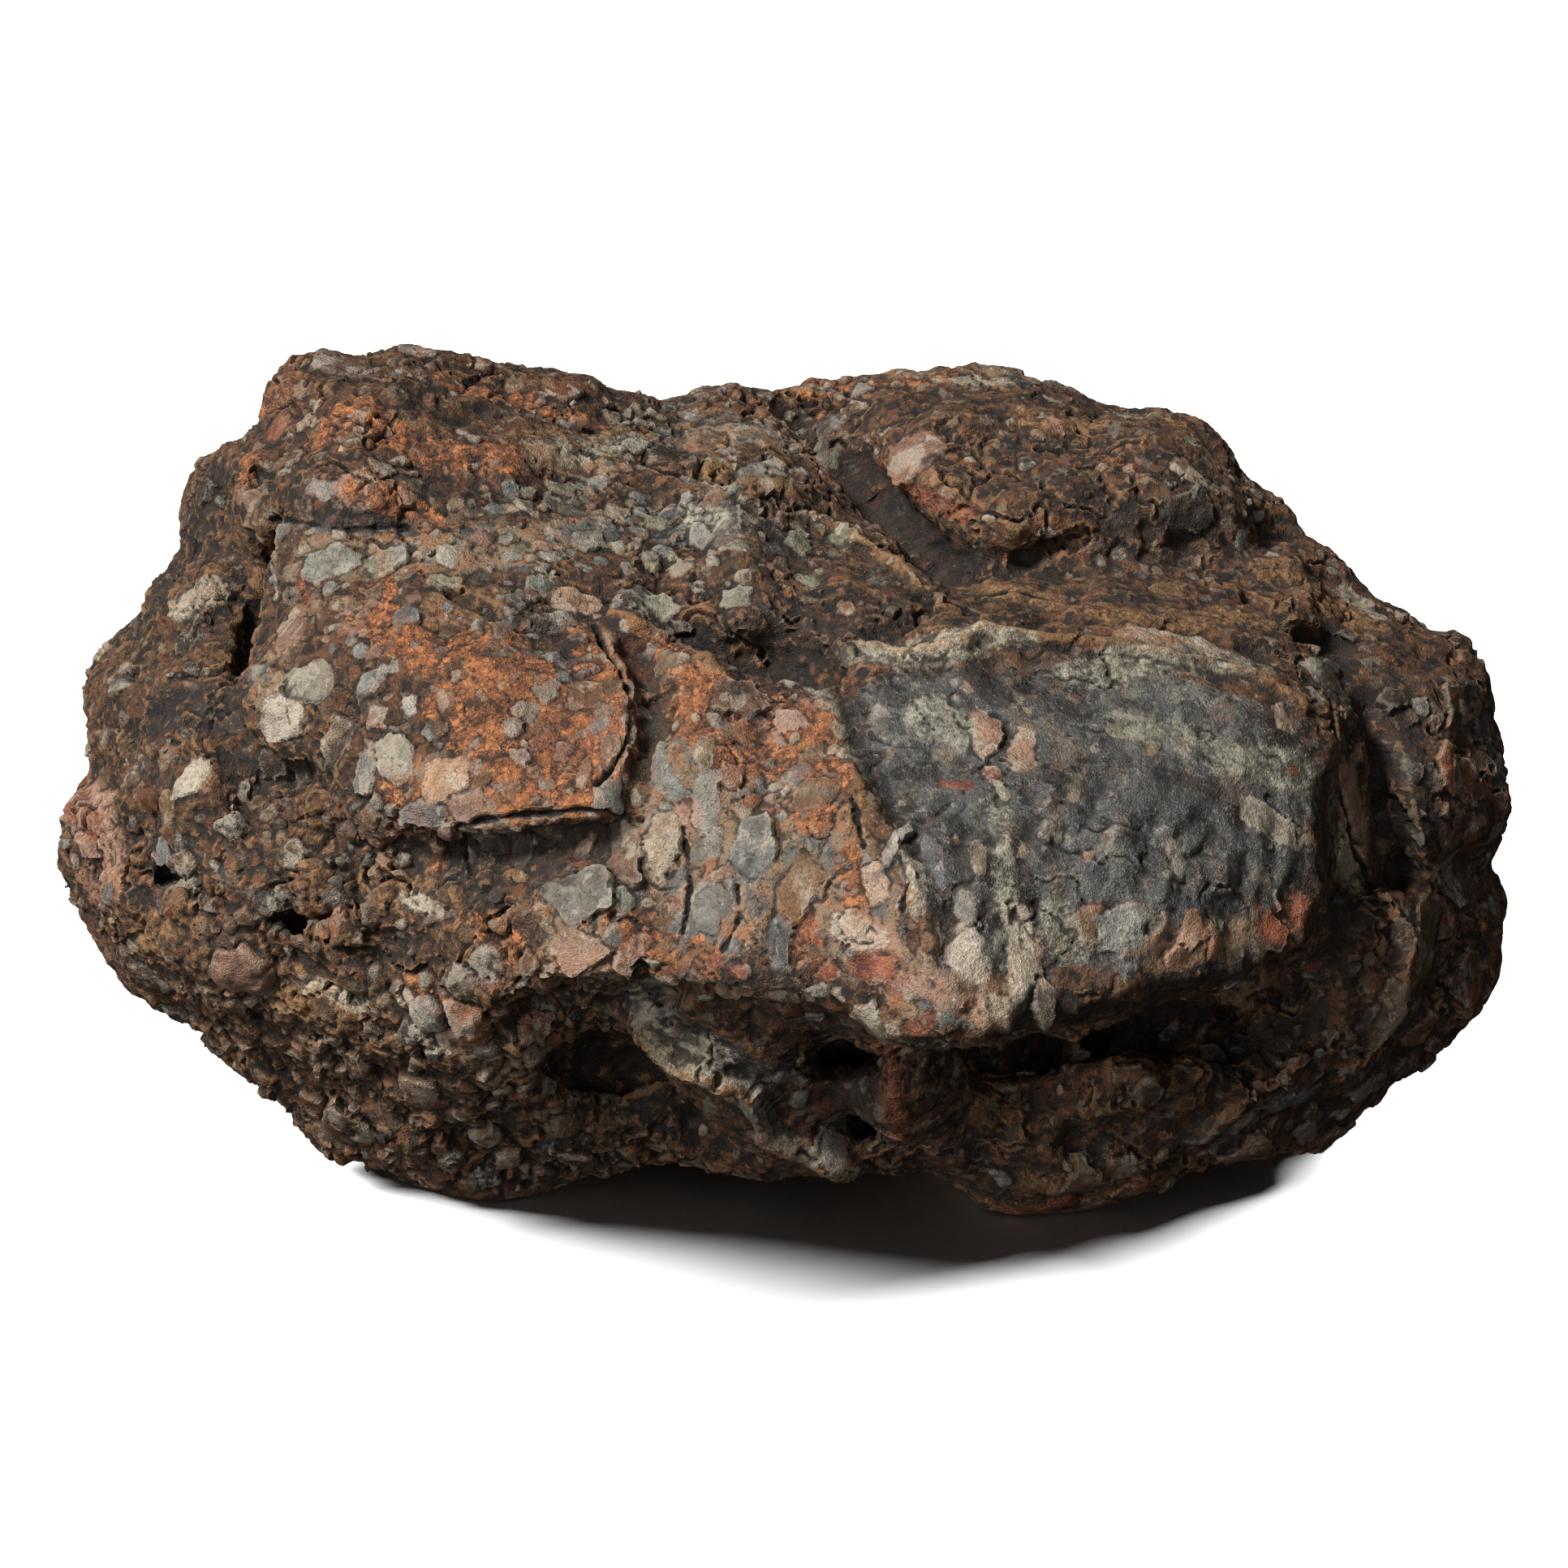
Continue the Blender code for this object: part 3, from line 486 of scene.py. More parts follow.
class Places:
    """The strokes laid on the stone once, and what they say at any points."""

    def __init__(self, surface):
        self.zones = []
        for name, text in ZONE_STROKES.items():
            for reach, pixels in rows(text):
                self.zones.append((name, reach / PX_PER_MM, segments(surface, pixels)))
        for name, text in FAR_STROKES.items():
            for reach, places in rows(text):
                points = [np.array(place) for place in places]
                self.zones.append((name, reach, list(zip(points, points[1:]))))
        self.pigments = {
            name: [(reach / PX_PER_MM, segments(surface, pixels)) for reach, pixels in rows(text)]
            for name, text in PIGMENT_STROKES.items()
        }
        self.cracks = [(depth, width, segments(surface, line)) for depth, width, line in rows(CRACKS)]
        self.forms = [(rise, reach / PX_PER_MM, segments(surface, line)) for rise, reach, line in rows(FORMS)]

    def zone_shares(self, points):
        """Each zone's share of each point; the shares add to one."""
        gap = {name: np.full(len(points), 1e9) for name in ZONES}
        for name, reach, pairs in self.zones:
            gap[name] = np.minimum(gap[name], distance_to(points, pairs) - reach)
        drifts = [noise(points, 6.0, 40 + k) * 1.5 for k in range(4)]
        wander = {name: drifts[k % 4] for k, name in enumerate(ZONES)}
        least = np.min([gap[name] + wander[name] for name in ZONES], axis=0)
        shares = {name: np.exp(-(gap[name] + wander[name] - least) / ZONE_SOFTNESS * 1.5) for name in ZONES}
        total = sum(shares.values())
        return {name: share / total for name, share in shares.items()}

    def pigment_shares(self, points, hidden, names):
        """How much of each pigment there is at each point, 0 to 1, with one half at a stroke's edge."""
        found = {}
        for salt, (name, strokes) in enumerate(self.pigments.items()):
            if name not in names:
                continue
            most = np.zeros(len(points))
            for reach, pairs in strokes:
                soft = reach * PIGMENT_SOFTNESS
                inside = 0.5 + (reach - distance_to(points, pairs)) / (2 * soft)
                most = np.maximum(most, inside)
            patches = FAR_SPREAD[name] + fractal(points, 9.0, 2, 60 + 5 * salt) * 0.75
            found[name] = np.clip(np.maximum(most, hidden * patches), 0, 1)
        return found


def blended(shares, word):
    """A zone number at each point, by the zones' shares."""
    return sum(share * ZONES[name][word] for name, share in shares.items())


# Mesh helpers


def new_piece(name, mesh):
    piece = bpy.data.objects.new(name, mesh)
    bpy.context.scene.collection.objects.link(piece)
    return piece


def with_modifiers(piece, *modifiers):
    """The piece's mesh after the given modifiers, each as (kind, {setting: value})."""
    for kind, settings in modifiers:
        modifier = piece.modifiers.new(kind.lower(), kind)
        for key, value in settings.items():
            setattr(modifier, key, value)
    graph = bpy.context.evaluated_depsgraph_get()
    made = bpy.data.meshes.new_from_object(piece.evaluated_get(graph))
    piece.modifiers.clear()
    spent = piece.data
    piece.data = made
    bpy.data.meshes.remove(spent)
    return made


def read_rows(items, word, width, kind=np.float32):
    """One property of all the items of a mesh, as rows of an array."""
    flat = np.empty(len(items) * width, kind)
    items.foreach_get(word, flat)
    return flat.reshape(-1, width)


def read_points(mesh):
    return read_rows(mesh.vertices, "co", 3).astype(np.float64) / MM


def read_normals(mesh):
    return read_rows(mesh.vertex_normals, "vector", 3).astype(np.float64)


def write_points(mesh, points):
    mesh.vertices.foreach_set("co", (points * MM).astype(np.float32).ravel())
    mesh.update()


def evened(values, edges, times):
    """Values on vertices after each is drawn to its neighbours' mean, times over."""
    count = len(values)
    start, end = edges.T
    meets = np.bincount(edges.ravel(), minlength=count).astype(np.float64)
    for _ in range(times):
        columns = []
        for column in values.T:
            given = np.bincount(start, column[end], count) + np.bincount(end, column[start], count)
            columns.append(given / meets)
        values = 0.5 * values + 0.5 * np.stack(columns, axis=1)
    return values


def set_values(mesh, name, values):
    """Stores a number on each vertex for the materials to read."""
    mesh.attributes.new(name, "FLOAT", "POINT").data.foreach_set("value", values.astype(np.float32))


def set_tones(mesh, tones):
    """Stores a linear colour on each vertex for the materials to read."""
    colours = np.hstack((tones, np.ones((len(tones), 1)))).astype(np.float32)
    mesh.attributes.new("tone", "FLOAT_COLOR", "POINT").data.foreach_set("color", colours.ravel())


def mesh_from(name, points, triangles):
    """A mesh from arrays: points in mm, and triangles as rows of three indices."""
    mesh = bpy.data.meshes.new(name)
    mesh.vertices.add(len(points))
    mesh.vertices.foreach_set("co", (points * MM).astype(np.float32).ravel())
    mesh.loops.add(triangles.size)
    mesh.loops.foreach_set("vertex_index", triangles.astype(np.int32).ravel())
    mesh.polygons.add(len(triangles))
    mesh.polygons.foreach_set("loop_start", np.arange(0, triangles.size, 3, dtype=np.int32))
    mesh.update(calc_edges=True)
    return mesh


# The skin


def creased(points, size, salt, along=None):
    """Flat facets about size across that meet in sharp creases, about -1 to 1.

    They are drawn out along a way, if one is given.
    """
    random = np.random.default_rng(salt)
    push = np.stack([noise(points, size * 2.2, salt + k) for k in range(3)], axis=1)
    bent = points + push * size * 0.5
    total = np.zeros(len(points))
    for _ in range(4):
        way = random.normal(0, 1, 3)
        if along is not None:
            way -= along * (way @ along) * 0.85
        phase = (bent @ way) / np.linalg.norm(way) / (size * random.uniform(1.3, 2.6)) + random.random()
        total += np.abs(phase - np.round(phase)) * 4 - 1
    return total / 2.2


def relief(points, shares):
    """The skin's height in mm above the solid's smoothed surface."""
    lumps = fractal(points, 7.5, 3, 7)
    coarse = 0.8 * lumps + 0.55 * creased(points, 6.5, 101) + 0.4 * creased(points, 3.6, 111)
    crevice = np.exp(-((fractal(points, 6.0, 3, 21) / 0.06) ** 2))
    crevice *= smooth_step(noise(points, 7.0, 25), -0.3, 0.4)
    fine = 0.6 * creased(points, 2.0, 121) + 0.4 * creased(points, 1.2, 131)
    fine += 0.8 * fractal(points, 2.2, 3, 51)
    crack = np.exp(-((fractal(points, 3.0, 3, 28) / 0.07) ** 2))
    crack *= smooth_step(noise(points, 4.0, 29), -0.2, 0.4)
    upright = 0.7 * creased(points, 2.6, 141, LEANING) + 0.7 * creased(points, 1.5, 151, LEANING)
    wander = np.stack([noise(points, 1.6, salt) for salt in (11, 12, 13)], axis=1) * 0.3
    _, owner, way = mosaic(points + wander, 3.1, 4)
    reach = (0.65 + 1.2 * owner[:, 0]) * (owner[:, 1] > 0.4) + 0.01
    bumps = np.sqrt(np.clip(1 - (way * way).sum(axis=1) / reach**2, 0, 1)) * reach - 0.35
    _, owner, way = mosaic(points + wander, 1.0, 8)
    grit = (way * (owner * 2 - 1)).sum(axis=1) * 0.9 + 0.9 * noise(points, 0.9, 5)
    return (
        blended(shares, "coarse") * (coarse - 1.5 * crevice)
        + blended(shares, "fine") * fine
        - blended(shares, "crack") * crack
        + blended(shares, "upright") * upright
        + blended(shares, "bumps") * bumps
        + blended(shares, "grit") * grit
    )


def shaped(base, places):
    """Moves the fine surface in and out where a form is sharper than in the solid."""
    points = read_points(base)
    normals = read_normals(base)
    height = np.zeros(len(points))
    for rise, reach, pairs in places.forms:
        height += rise * smooth_step(1 - distance_to(points, pairs) / (reach * 1.35), 0, 1)
    height = np.clip(height, -FORM_DEPTH, FORM_HEIGHT) * smooth_step(points[:, 2], 0.3, 4.0)
    write_points(base, points + normals * height[:, None])


def roughened(places, points, normals, bedding):
    """The fine surface's points after relief, chips and cracks, and each point's share of a crack."""
    shares = places.zone_shares(points)
    cement = relief(points, shares)
    inside = smooth_step(bedding.border, -0.05, 0.22)
    face = bedding.height + 0.10 * noise(points, 1.6, 33) + 0.06 * noise(points, 0.8, 34)
    height = cement * (1 - inside * 0.72) + face * inside
    broken = 0.55 + 0.45 * noise(points, 2.2, 35)
    seam = np.exp(-((bedding.border / 0.13) ** 2)) * (bedding.owner >= 0) * broken
    height -= seam * (0.04 + blended(shares, "crack") * 0.35)
    stray = noise(points, 1.2, 9) * 0.25
    gap = np.zeros(len(points))
    for depth, width, pairs in places.cracks:
        share = np.exp(-(((distance_to(points, pairs) + stray) / width) ** 2))
        height -= depth * share
        gap = np.maximum(gap, share)
    height = np.clip(height, -INWARD_MOST, OUTWARD_MOST)
    height *= smooth_step(points[:, 2], 0.25, FLOOR_CALM)
    points = points + normals * height[:, None]
    points[:, 2] = np.maximum(points[:, 2], 0.0)
    return points, gap


def skin_values(mesh, places, bedding, gap):
    """What the stone's finish reads at each vertex: hollows, borders, cracks, pigments with the painted shade
    of the dark strokes, and glassy places.
    """
    points, normals = read_points(mesh), read_normals(mesh)
    edges = read_rows(mesh.edges, "vertices", 2, np.int32)
    near = evened(points, edges, NEAR_EVENINGS)
    far = evened(near, edges, FAR_EVENINGS)
    values = {
        "hollow": np.clip(((near - points) * normals).sum(axis=1) / HOLLOW_DEPTH, -1, 1),
        "broad_hollow": np.clip(((far - points) * normals).sum(axis=1) / BROAD_HOLLOW_DEPTH, -1, 1),
        "border": np.clip(bedding.border, -1, 1),
        "gap": gap,
        **places.pigment_shares(points, hidden_share(points, normals), PIGMENT_STROKES),
    }
    bare = smooth_step(np.maximum(values["grey"], values["flesh"]) * 0.85, 0.3, 0.8)
    chips = smooth_step(bedding.border, 0.0, 0.3)
    values["glass"] = np.maximum(chips, bare) * (1 - smooth_step(values["rust"], 0.4, 0.7))
    return values


def skin_pieces(places, base, chips, finish):
    """The stone's skin, in as many pieces as the triangle limit asks, and what spreading over it needs.

    The pieces share their normals, so no seam shows.
    """
    points, normals = read_points(base), read_normals(base)
    bedding = Bedding(points, normals, chips)
    rough, gap = roughened(places, points, normals, bedding)
    write_points(base, rough)
    whole = new_piece("whole_skin", base)
    mesh = with_modifiers(whole, ("TRIANGULATE", {}))
    mesh.polygons.foreach_set("use_smooth", np.ones(len(mesh.polygons), bool))
    mesh.set_sharp_from_angle(angle=math.radians(SKIN_SHARP_DEGREES))
    values = skin_values(mesh, places, bedding, gap)
    points, normals = read_points(mesh), read_normals(mesh)
    triangles = read_rows(mesh.polygons, "vertices", 3, np.int32)
    corner_normals = read_rows(mesh.corner_normals, "vector", 3).reshape(-1, 3, 3)
    order = np.argsort(points[triangles].mean(axis=1)[:, 0], kind="stable")
    pieces = math.ceil(len(triangles) / MOST_TRIANGLES)
    for number, chosen in enumerate(np.array_split(order, pieces), 1):
        used, own = np.unique(triangles[chosen], return_inverse=True)
        part = mesh_from(f"stone_skin_{number}", points[used], own.reshape(-1, 3))
        part.polygons.foreach_set("use_smooth", np.ones(len(chosen), bool))
        part.normals_split_custom_set(corner_normals[chosen].reshape(-1, 3))
        for name, value in values.items():
            set_values(part, name, value[used])
        set_tones(part, bedding.tone[used])
        dressed(new_piece(part.name, part), finish)
    bpy.data.objects.remove(whole)
    return surface_of(points, normals, triangles)


def surface_of(points, normals, triangles):
    """What spreading things over a surface needs: its points, normals, triangles and their areas."""
    a, b, c = (points[triangles[:, k]] for k in range(3))
    return points, normals, triangles, np.linalg.norm(np.cross(b - a, c - a), axis=1) / 2


# Chips


class Chip:
    """A chip bedded in the surface: its middle, its own plane, its broken sides there, and its tone."""

    def __init__(self, random, place, normal, half_long, half_short, turn, tone, lift, dome, noted=False):
        self.place = place
        self.normal = normal
        side = RIGHTWARD - normal * (RIGHTWARD @ normal)
        if np.linalg.norm(side) < 0.3:
            side = UPWARD - normal * (UPWARD @ normal)
        self.side = side / np.linalg.norm(side)
        self.rise = np.cross(normal, self.side)
        self.half_long = half_long
        self.half_short = half_short
        self.room = (half_long + half_short) / 2
        axes = np.array(((math.cos(turn), math.sin(turn)), (-math.sin(turn), math.cos(turn))))
        self.span = axes / np.array(((half_long,), (half_short,)))
        sides = random.integers(4, 8)
        angles = turn + 2 * math.pi * (np.arange(sides) + random.uniform(-0.25, 0.25, sides)) / sides
        self.ways = np.stack((np.cos(angles), np.sin(angles)))
        self.reaches = np.hypot(half_long * np.cos(angles - turn), half_short * np.sin(angles - turn))
        self.reaches *= random.uniform(0.62, 1.08, sides)
        self.slope = random.normal(0, 0.08, 2)
        shade = math.exp(random.normal(-0.34 if noted else -0.58, 0.24))
        self.tone = linear(TONES[tone]) * shade * (1 + random.normal(0, 0.03, 3)) * WARMTH
        self.lift = lift
        self.dome = dome
        self.noted = noted


def noted_chips(surface, random):
    """The chips that stand out in the photograph, at the size that they have there."""
    chips = []
    for *numbers, tone in words_of(NOTED_CHIPS):
        x, y, width, height, lean = map(float, numbers)
        found = on_stone(surface, x, y)
        if not found:
            continue
        place, normal = found
        sideways = abs(normal @ RIGHTWARD)
        across = width / 2 / PX_PER_MM / max(0.75, math.sqrt(1 - min(0.64, sideways**2)))
        up = height / 2 / PX_PER_MM / max(0.75, min(1.0, normal @ NEARER))
        turn = math.radians(lean)
        if up > across:
            across, up, turn = up, across, turn + math.pi / 2
        dome = 0.5 if y > ROUND_BELOW and x < ROUND_LEFT_OF else 0.05
        chips.append(Chip(random, place, normal, across, up, turn, tone, 0.10, dome, True))
    return chips


def spots_on(base, count, random):
    """Places spread over a surface by chance, and the way that it faces at each."""
    points, normals, triangles, areas = base
    owner = random.choice(len(triangles), count, p=areas / areas.sum())
    corner = random.dirichlet((1, 1, 1), count)
    spots = (points[triangles[owner]] * corner[:, :, None]).sum(axis=1)
    facing = normals[triangles[owner]].mean(axis=1)
    return spots, facing / np.linalg.norm(facing, axis=1)[:, None]


def usual_tones(shares):
    """The words for the usual tones of the zone that leads at each point."""
    tones = [zone["tones"] for zone in ZONES.values()]
    return [tones[leader] for leader in np.argmax(np.stack([shares[name] for name in ZONES]), axis=0)]


def scattered_chips(places, base, random, taken):
    """Chips spread over the whole surface, as dense and as big as each zone says."""
    spots, facing = spots_on(base, CHIP_TRIES, random)
    shares = places.zone_shares(spots)
    zone = {word: blended(shares, word) for word in ("cover", "size", "long", "lift", "upright", "bumps")}
    tones = usual_tones(shares)
    clump = smooth_step(noise(spots, 5.5, 81), -0.6, 0.5)
    grid = {}
    chips = list(taken)
    for chip in chips:
        grid.setdefault(tuple((chip.place // GRID_STEP).astype(int)), []).append(chip)
    for k, spot in enumerate(spots):
        if spot[2] < 1.4 or random.random() > zone["cover"][k] * (0.35 + 1.1 * clump[k]):
            continue
        half_long = zone["size"][k] * math.exp(random.normal(-0.35, 0.5))
        half_short = half_long / max(1.0, zone["long"][k] * random.uniform(0.7, 1.25))
        room = (half_long + half_short) / 2
        key = (spot // GRID_STEP).astype(int)
        near = [c for shift in np.ndindex(3, 3, 3) for c in grid.get(tuple(key + np.array(shift) - 1), ())]
        if any(np.linalg.norm(c.place - spot) < (0.80 if c.noted else 0.50) * (c.room + room) for c in near):
            continue
        upright = zone["upright"][k] > 0.2
        turn = math.pi / 2 + random.normal(0, 0.25) if upright else random.uniform(0, math.pi)
        tone = tones[k][random.integers(len(tones[k]))]
        lift = zone["lift"][k] * random.uniform(-0.5, 0.9)
        dome = 0.03 + 0.5 * zone["bumps"][k]
        chip = Chip(random, spot, facing[k], half_long, half_short, turn, tone, lift, dome)
        chips.append(chip)
        grid.setdefault(tuple(key), []).append(chip)
    return chips


class Bedding:
    """Which chip each point of the surface is in, and how far it is inside that chip's outline."""

    def __init__(self, points, normals, chips):
        count = len(points)
        tree = KDTree(count)
        for number, point in enumerate(points.tolist()):
            tree.insert(point, number)
        tree.balance()
        ragged = 0.27 * noise(points, 1.8, 31) + 0.17 * noise(points, 0.75, 32)
        first = np.full(count, -9.0)
        second = np.full(count, -9.0)
        self.owner = np.full(count, -1)
        self.height = np.zeros(count)
        for number, chip in enumerate(chips):
            found = tree.find_range(chip.place, chip.half_long * 1.3 + 0.5)
            near = np.fromiter((index for _, index, _ in found), int, len(found))
            off = points[near] - chip.place
            flat = np.stack((off @ chip.side, off @ chip.rise), axis=1)
            above = off @ chip.normal
            bounded = (1.18 - np.linalg.norm(flat @ chip.span.T, axis=1)) * chip.half_short
            inside = np.minimum((chip.reaches - flat @ chip.ways).min(axis=1), bounded) + ragged[near]
            if chip.noted:
                inside = np.where(inside > 0, inside * 1.25, inside)
            kept = (normals[near] @ chip.normal > 0.2) & (np.abs(above) < 1.4 + 0.3 * chip.half_long)
            near, inside, flat, above = near[kept], inside[kept], flat[kept], above[kept]
            better = inside > first[near]
            second[near] = np.where(better, first[near], np.maximum(second[near], inside))
            first[near] = np.where(better, inside, first[near])
            won = near[better]
            self.owner[won] = number
            out = (flat[better] ** 2).sum(axis=1) / chip.room**2
            crown = chip.dome * chip.room * (np.sqrt(np.clip(1.25 - out, 0, None)) - 0.45)
            self.height[won] = chip.lift - 0.45 * above[better] + flat[better] @ chip.slope + crown
        self.border = np.where(self.owner >= 0, first - np.maximum(second, 0), -1.0)
        tones = np.array([chip.tone for chip in chips] + [linear(TONES["brown"])])
        self.tone = np.clip(tones[self.owner], 0.01, 0.9)
        self.height = np.clip(self.height, -0.7, 0.8)


def linear(tone):
    """The linear colour of an sRGB one."""
    return np.array([c / 12.92 if c <= 0.04045 else ((c + 0.055) / 1.055) ** 2.4 for c in tone])


# Grains


def grain_shapes(random):
    """Small uneven lumps, as (points, triangles), each about one unit across."""
    shapes = []
    for k in range(GRAIN_SHAPES):
        bm = bmesh.new()
        corners = 11 if k % 3 else 15
        for direction in random.normal(0, 1, (corners, 3)):
            bm.verts.new(Vector(direction / np.linalg.norm(direction) * random.uniform(0.40, 0.55)))
        bmesh.ops.convex_hull(bm, input=bm.verts)
        bmesh.ops.triangulate(bm, faces=bm.faces)
        loose = [v for v in bm.verts if not v.link_faces]
        bmesh.ops.delete(bm, geom=loose, context="VERTS")
        bmesh.ops.recalc_face_normals(bm, faces=bm.faces)
        bm.verts.index_update()
        points = np.array([v.co for v in bm.verts])
        triangles = np.array([[v.index for v in f.verts] for f in bm.faces])
        bm.free()
        shapes.append((points, triangles))
    return shapes


def spins(turns):
    """The rotation of each row of four numbers taken as a quaternion."""
    w, x, y, z = (turns / np.linalg.norm(turns, axis=1)[:, None]).T
    return np.stack((
        np.stack((1 - 2 * (y * y + z * z), 2 * (x * y - w * z), 2 * (x * z + w * y)), axis=1),
        np.stack((2 * (x * y + w * z), 1 - 2 * (x * x + z * z), 2 * (y * z - w * x)), axis=1),
        np.stack((2 * (x * z - w * y), 2 * (y * z + w * x), 1 - 2 * (x * x + y * y)), axis=1),
    ), axis=1)


def grain_pieces(places, base, random):
    """Grains bedded over the whole surface: their points, triangles, flanks and tones, joined."""
    most = max(zone["grains"] for zone in ZONES.values())
    count = int(base[-1].sum() / 100 * most)
    spots, facing = spots_on(base, count, random)
    shares = places.zone_shares(spots)
    clump = smooth_step(fractal(spots, 4.0, 2, 91), -0.45, 0.5)
    wanted = blended(shares, "grains") / most * (0.3 + 1.2 * clump)
    kept = (random.random(count) < wanted) & (spots[:, 2] > 1.2)
    spots, facing = spots[kept], facing[kept]
    shares = {name: share[kept] for name, share in shares.items()}
    size = np.exp(random.normal(0, 0.40, len(spots))) * (0.62 + 0.55 * blended(shares, "bumps"))
    shapes = grain_shapes(random)
    kind = random.integers(len(shapes), size=len(spots))
    tone = np.array([linear(TONES[words[random.integers(len(words))]]) for words in usual_tones(shares)])
    tone *= np.exp(random.normal(-0.55, 0.25, (len(spots), 1))) * WARMTH
    spin = spins(random.normal(0, 1, (len(spots), 4)))
    squash = random.uniform(0.7, 1.25, (len(spots), 3))
    joined = []
    offset = 0
    for k, (shape, faces) in enumerate(shapes):
        chosen = np.flatnonzero(kind == k)
        if not len(chosen):
            continue
        many = len(chosen)
        middle, way, large = spots[chosen][:, None], facing[chosen][:, None], size[chosen][:, None]
        lump = shape[None] * squash[chosen][:, None] * large[:, None]
        lump = np.einsum("nij,nkj->nki", spin[chosen], lump)
        sink = size[chosen] * random.uniform(-0.15, 0.12, many)
        lump += middle + way * sink[:, None, None]
        height = ((lump - middle) * way).sum(axis=2) / large
        joined.append((
            lump.reshape(-1, 3),
            (faces[None] + (np.arange(many) * len(shape))[:, None, None] + offset).reshape(-1, 3),
            np.clip(0.55 - height * 1.3, 0, 1).ravel(),
            np.repeat(tone[chosen], len(shape), axis=0),
        ))
        offset += many * len(shape)
    points, triangles, flanks, tones = (np.concatenate(arrays) for arrays in zip(*joined))
    points[:, 2] = np.maximum(points[:, 2], 0.0)
    return points, triangles, flanks, np.clip(tones, 0.01, 0.9)


# Materials


class Wire:
    """One output of a shader node. Arithmetic on it adds Math nodes."""

    def __init__(self, finish, socket):
        self.finish = finish
        self.socket = socket

    def math(self, operation, *values, **settings):
        return self.finish.node("ShaderNodeMath", {"operation": operation, **settings}, *values)

    def __add__(self, other):
        return self.math("ADD", self, other)

    __radd__ = __add__

    def __sub__(self, other):
        return self.math("SUBTRACT", self, other)

    def __rsub__(self, other):
        return self.math("SUBTRACT", other, self)

    def __mul__(self, other):
        return self.math("MULTIPLY", self, other)

    __rmul__ = __mul__

    def largest(self, other):
        return self.math("MAXIMUM", self, other)

    def away(self, middle):
        """The distance from a value."""
        return self.math("ABSOLUTE", self - middle)

    def kept_in(self):
        """The value, kept within 0 and 1."""
        return self.math("ADD", self, 0.0, use_clamp=True)


class Finish:
    """A material, and the calls that add nodes to it. Sizes are in mm."""

    def __init__(self, name):
        self.material = bpy.data.materials.new(name)
        self.material.use_nodes = True
        self.tree = self.material.node_tree
        self.tree.nodes.clear()
        self.place = self.node("ShaderNodeTexCoord", out="Object")

    def feed(self, socket, value):
        if isinstance(value, Wire):
            self.tree.links.new(value.socket, socket)
        elif socket.type == "RGBA":
            socket.default_value = (*value, 1)
        else:
            socket.default_value = value

    def node(self, kind, settings=None, *values, sockets=None, out=0, **named):
        """Adds a node: its settings, then its sockets' values or links, by their order, number or name."""
        made = self.tree.nodes.new(kind)
        for key, value in (settings or {}).items():
            setattr(made, key, value)
        named = {key.replace("_", " "): value for key, value in named.items()}
        for socket, value in {**dict(enumerate(values)), **(sockets or {}), **named}.items():
            self.feed(made.inputs[socket], value)
        return None if out is None else Wire(self, made.outputs[out])

    def made_up(self, **sockets):
        """The material, once its shader has these values or links."""
        shader = self.node("ShaderNodeBsdfPrincipled", None, **sockets)
        self.node("ShaderNodeOutputMaterial", None, shader, out=None)
        return self.material

    def bump(self, strength, distance, height):
        return self.node("ShaderNodeBump", None, Strength=strength, Distance=distance * MM, Height=height)

    def noise(self, size, detail, rough, at=None, out=0):
        """Noise whose lumps are size across."""
        sockets = {"Vector": at or self.place, "Scale": 1 / (size * MM), "Detail": detail, "Roughness": rough}
        return self.node("ShaderNodeTexNoise", sockets=sockets, out=out)

    def cells(self, size, at, feature="F1"):
        """Cells about size across."""
        return self.node("ShaderNodeTexVoronoi", {"feature": feature}, Vector=at, Scale=1 / (size * MM))

    def vector(self, operation, first, second, out=0):
        return self.node("ShaderNodeVectorMath", {"operation": operation}, first, second, out=out)

    def outputs(self, wire):
        """All outputs of the node that a wire comes from, by name."""
        return {socket.name: Wire(self, socket) for socket in wire.socket.node.outputs}

    def parts(self, wire):
        """The three parts of a colour."""
        return list(self.outputs(self.node("ShaderNodeSeparateColor", None, wire)).values())

    def facets(self, size, at):
        """Facets about size across: a height in mm that tilts each its own way, and its colour of chance."""
        cell = self.outputs(self.cells(size, at))
        tilt = self.vector("SUBTRACT", cell["Color"], HALF)
        height = self.vector("DOT_PRODUCT", self.vector("SUBTRACT", at, cell["Position"]), tilt, out=1)
        return height * (1 / MM), cell["Color"]

    def bent(self, size, amount):
        """The place, pushed about by noise, by amount at most."""
        push = self.vector("SUBTRACT", self.noise(size, 1.0, 0.55, out=1), HALF)
        return self.vector("ADD", self.place, self.vector("MULTIPLY", push, (amount * MM * 2,) * 3))

    def attribute(self, name, out="Fac"):
        return self.node("ShaderNodeAttribute", {"attribute_name": name}, out=out)

    def between(self, value, low, high):
        """0 below low and 1 above high, smoothly."""
        return self.node("ShaderNodeMapRange", {"interpolation_type": "SMOOTHSTEP"}, value, low, high)

    def mix(self, share, first, second, blend="MIX"):
        settings = {"data_type": "RGBA", "blend_type": blend}
        return self.node("ShaderNodeMix", settings, share, sockets={6: first, 7: second}, out=2)

    def over(self, tone, value, low, high, share, shade):
        """The tone under a share of an sRGB shade, which comes as the value goes from low to high."""
        return self.mix(self.between(value, low, high) * share, tone, colour(*shade))

    def graded(self, value, low, high, first, second):
        """A tone that goes from one sRGB shade to another as the value goes from low to high."""
        return self.mix(self.between(value, low, high), colour(*first), colour(*second))


def colour(red, green, blue):
    return tuple(float(c) for c in linear((red, green, blue)))


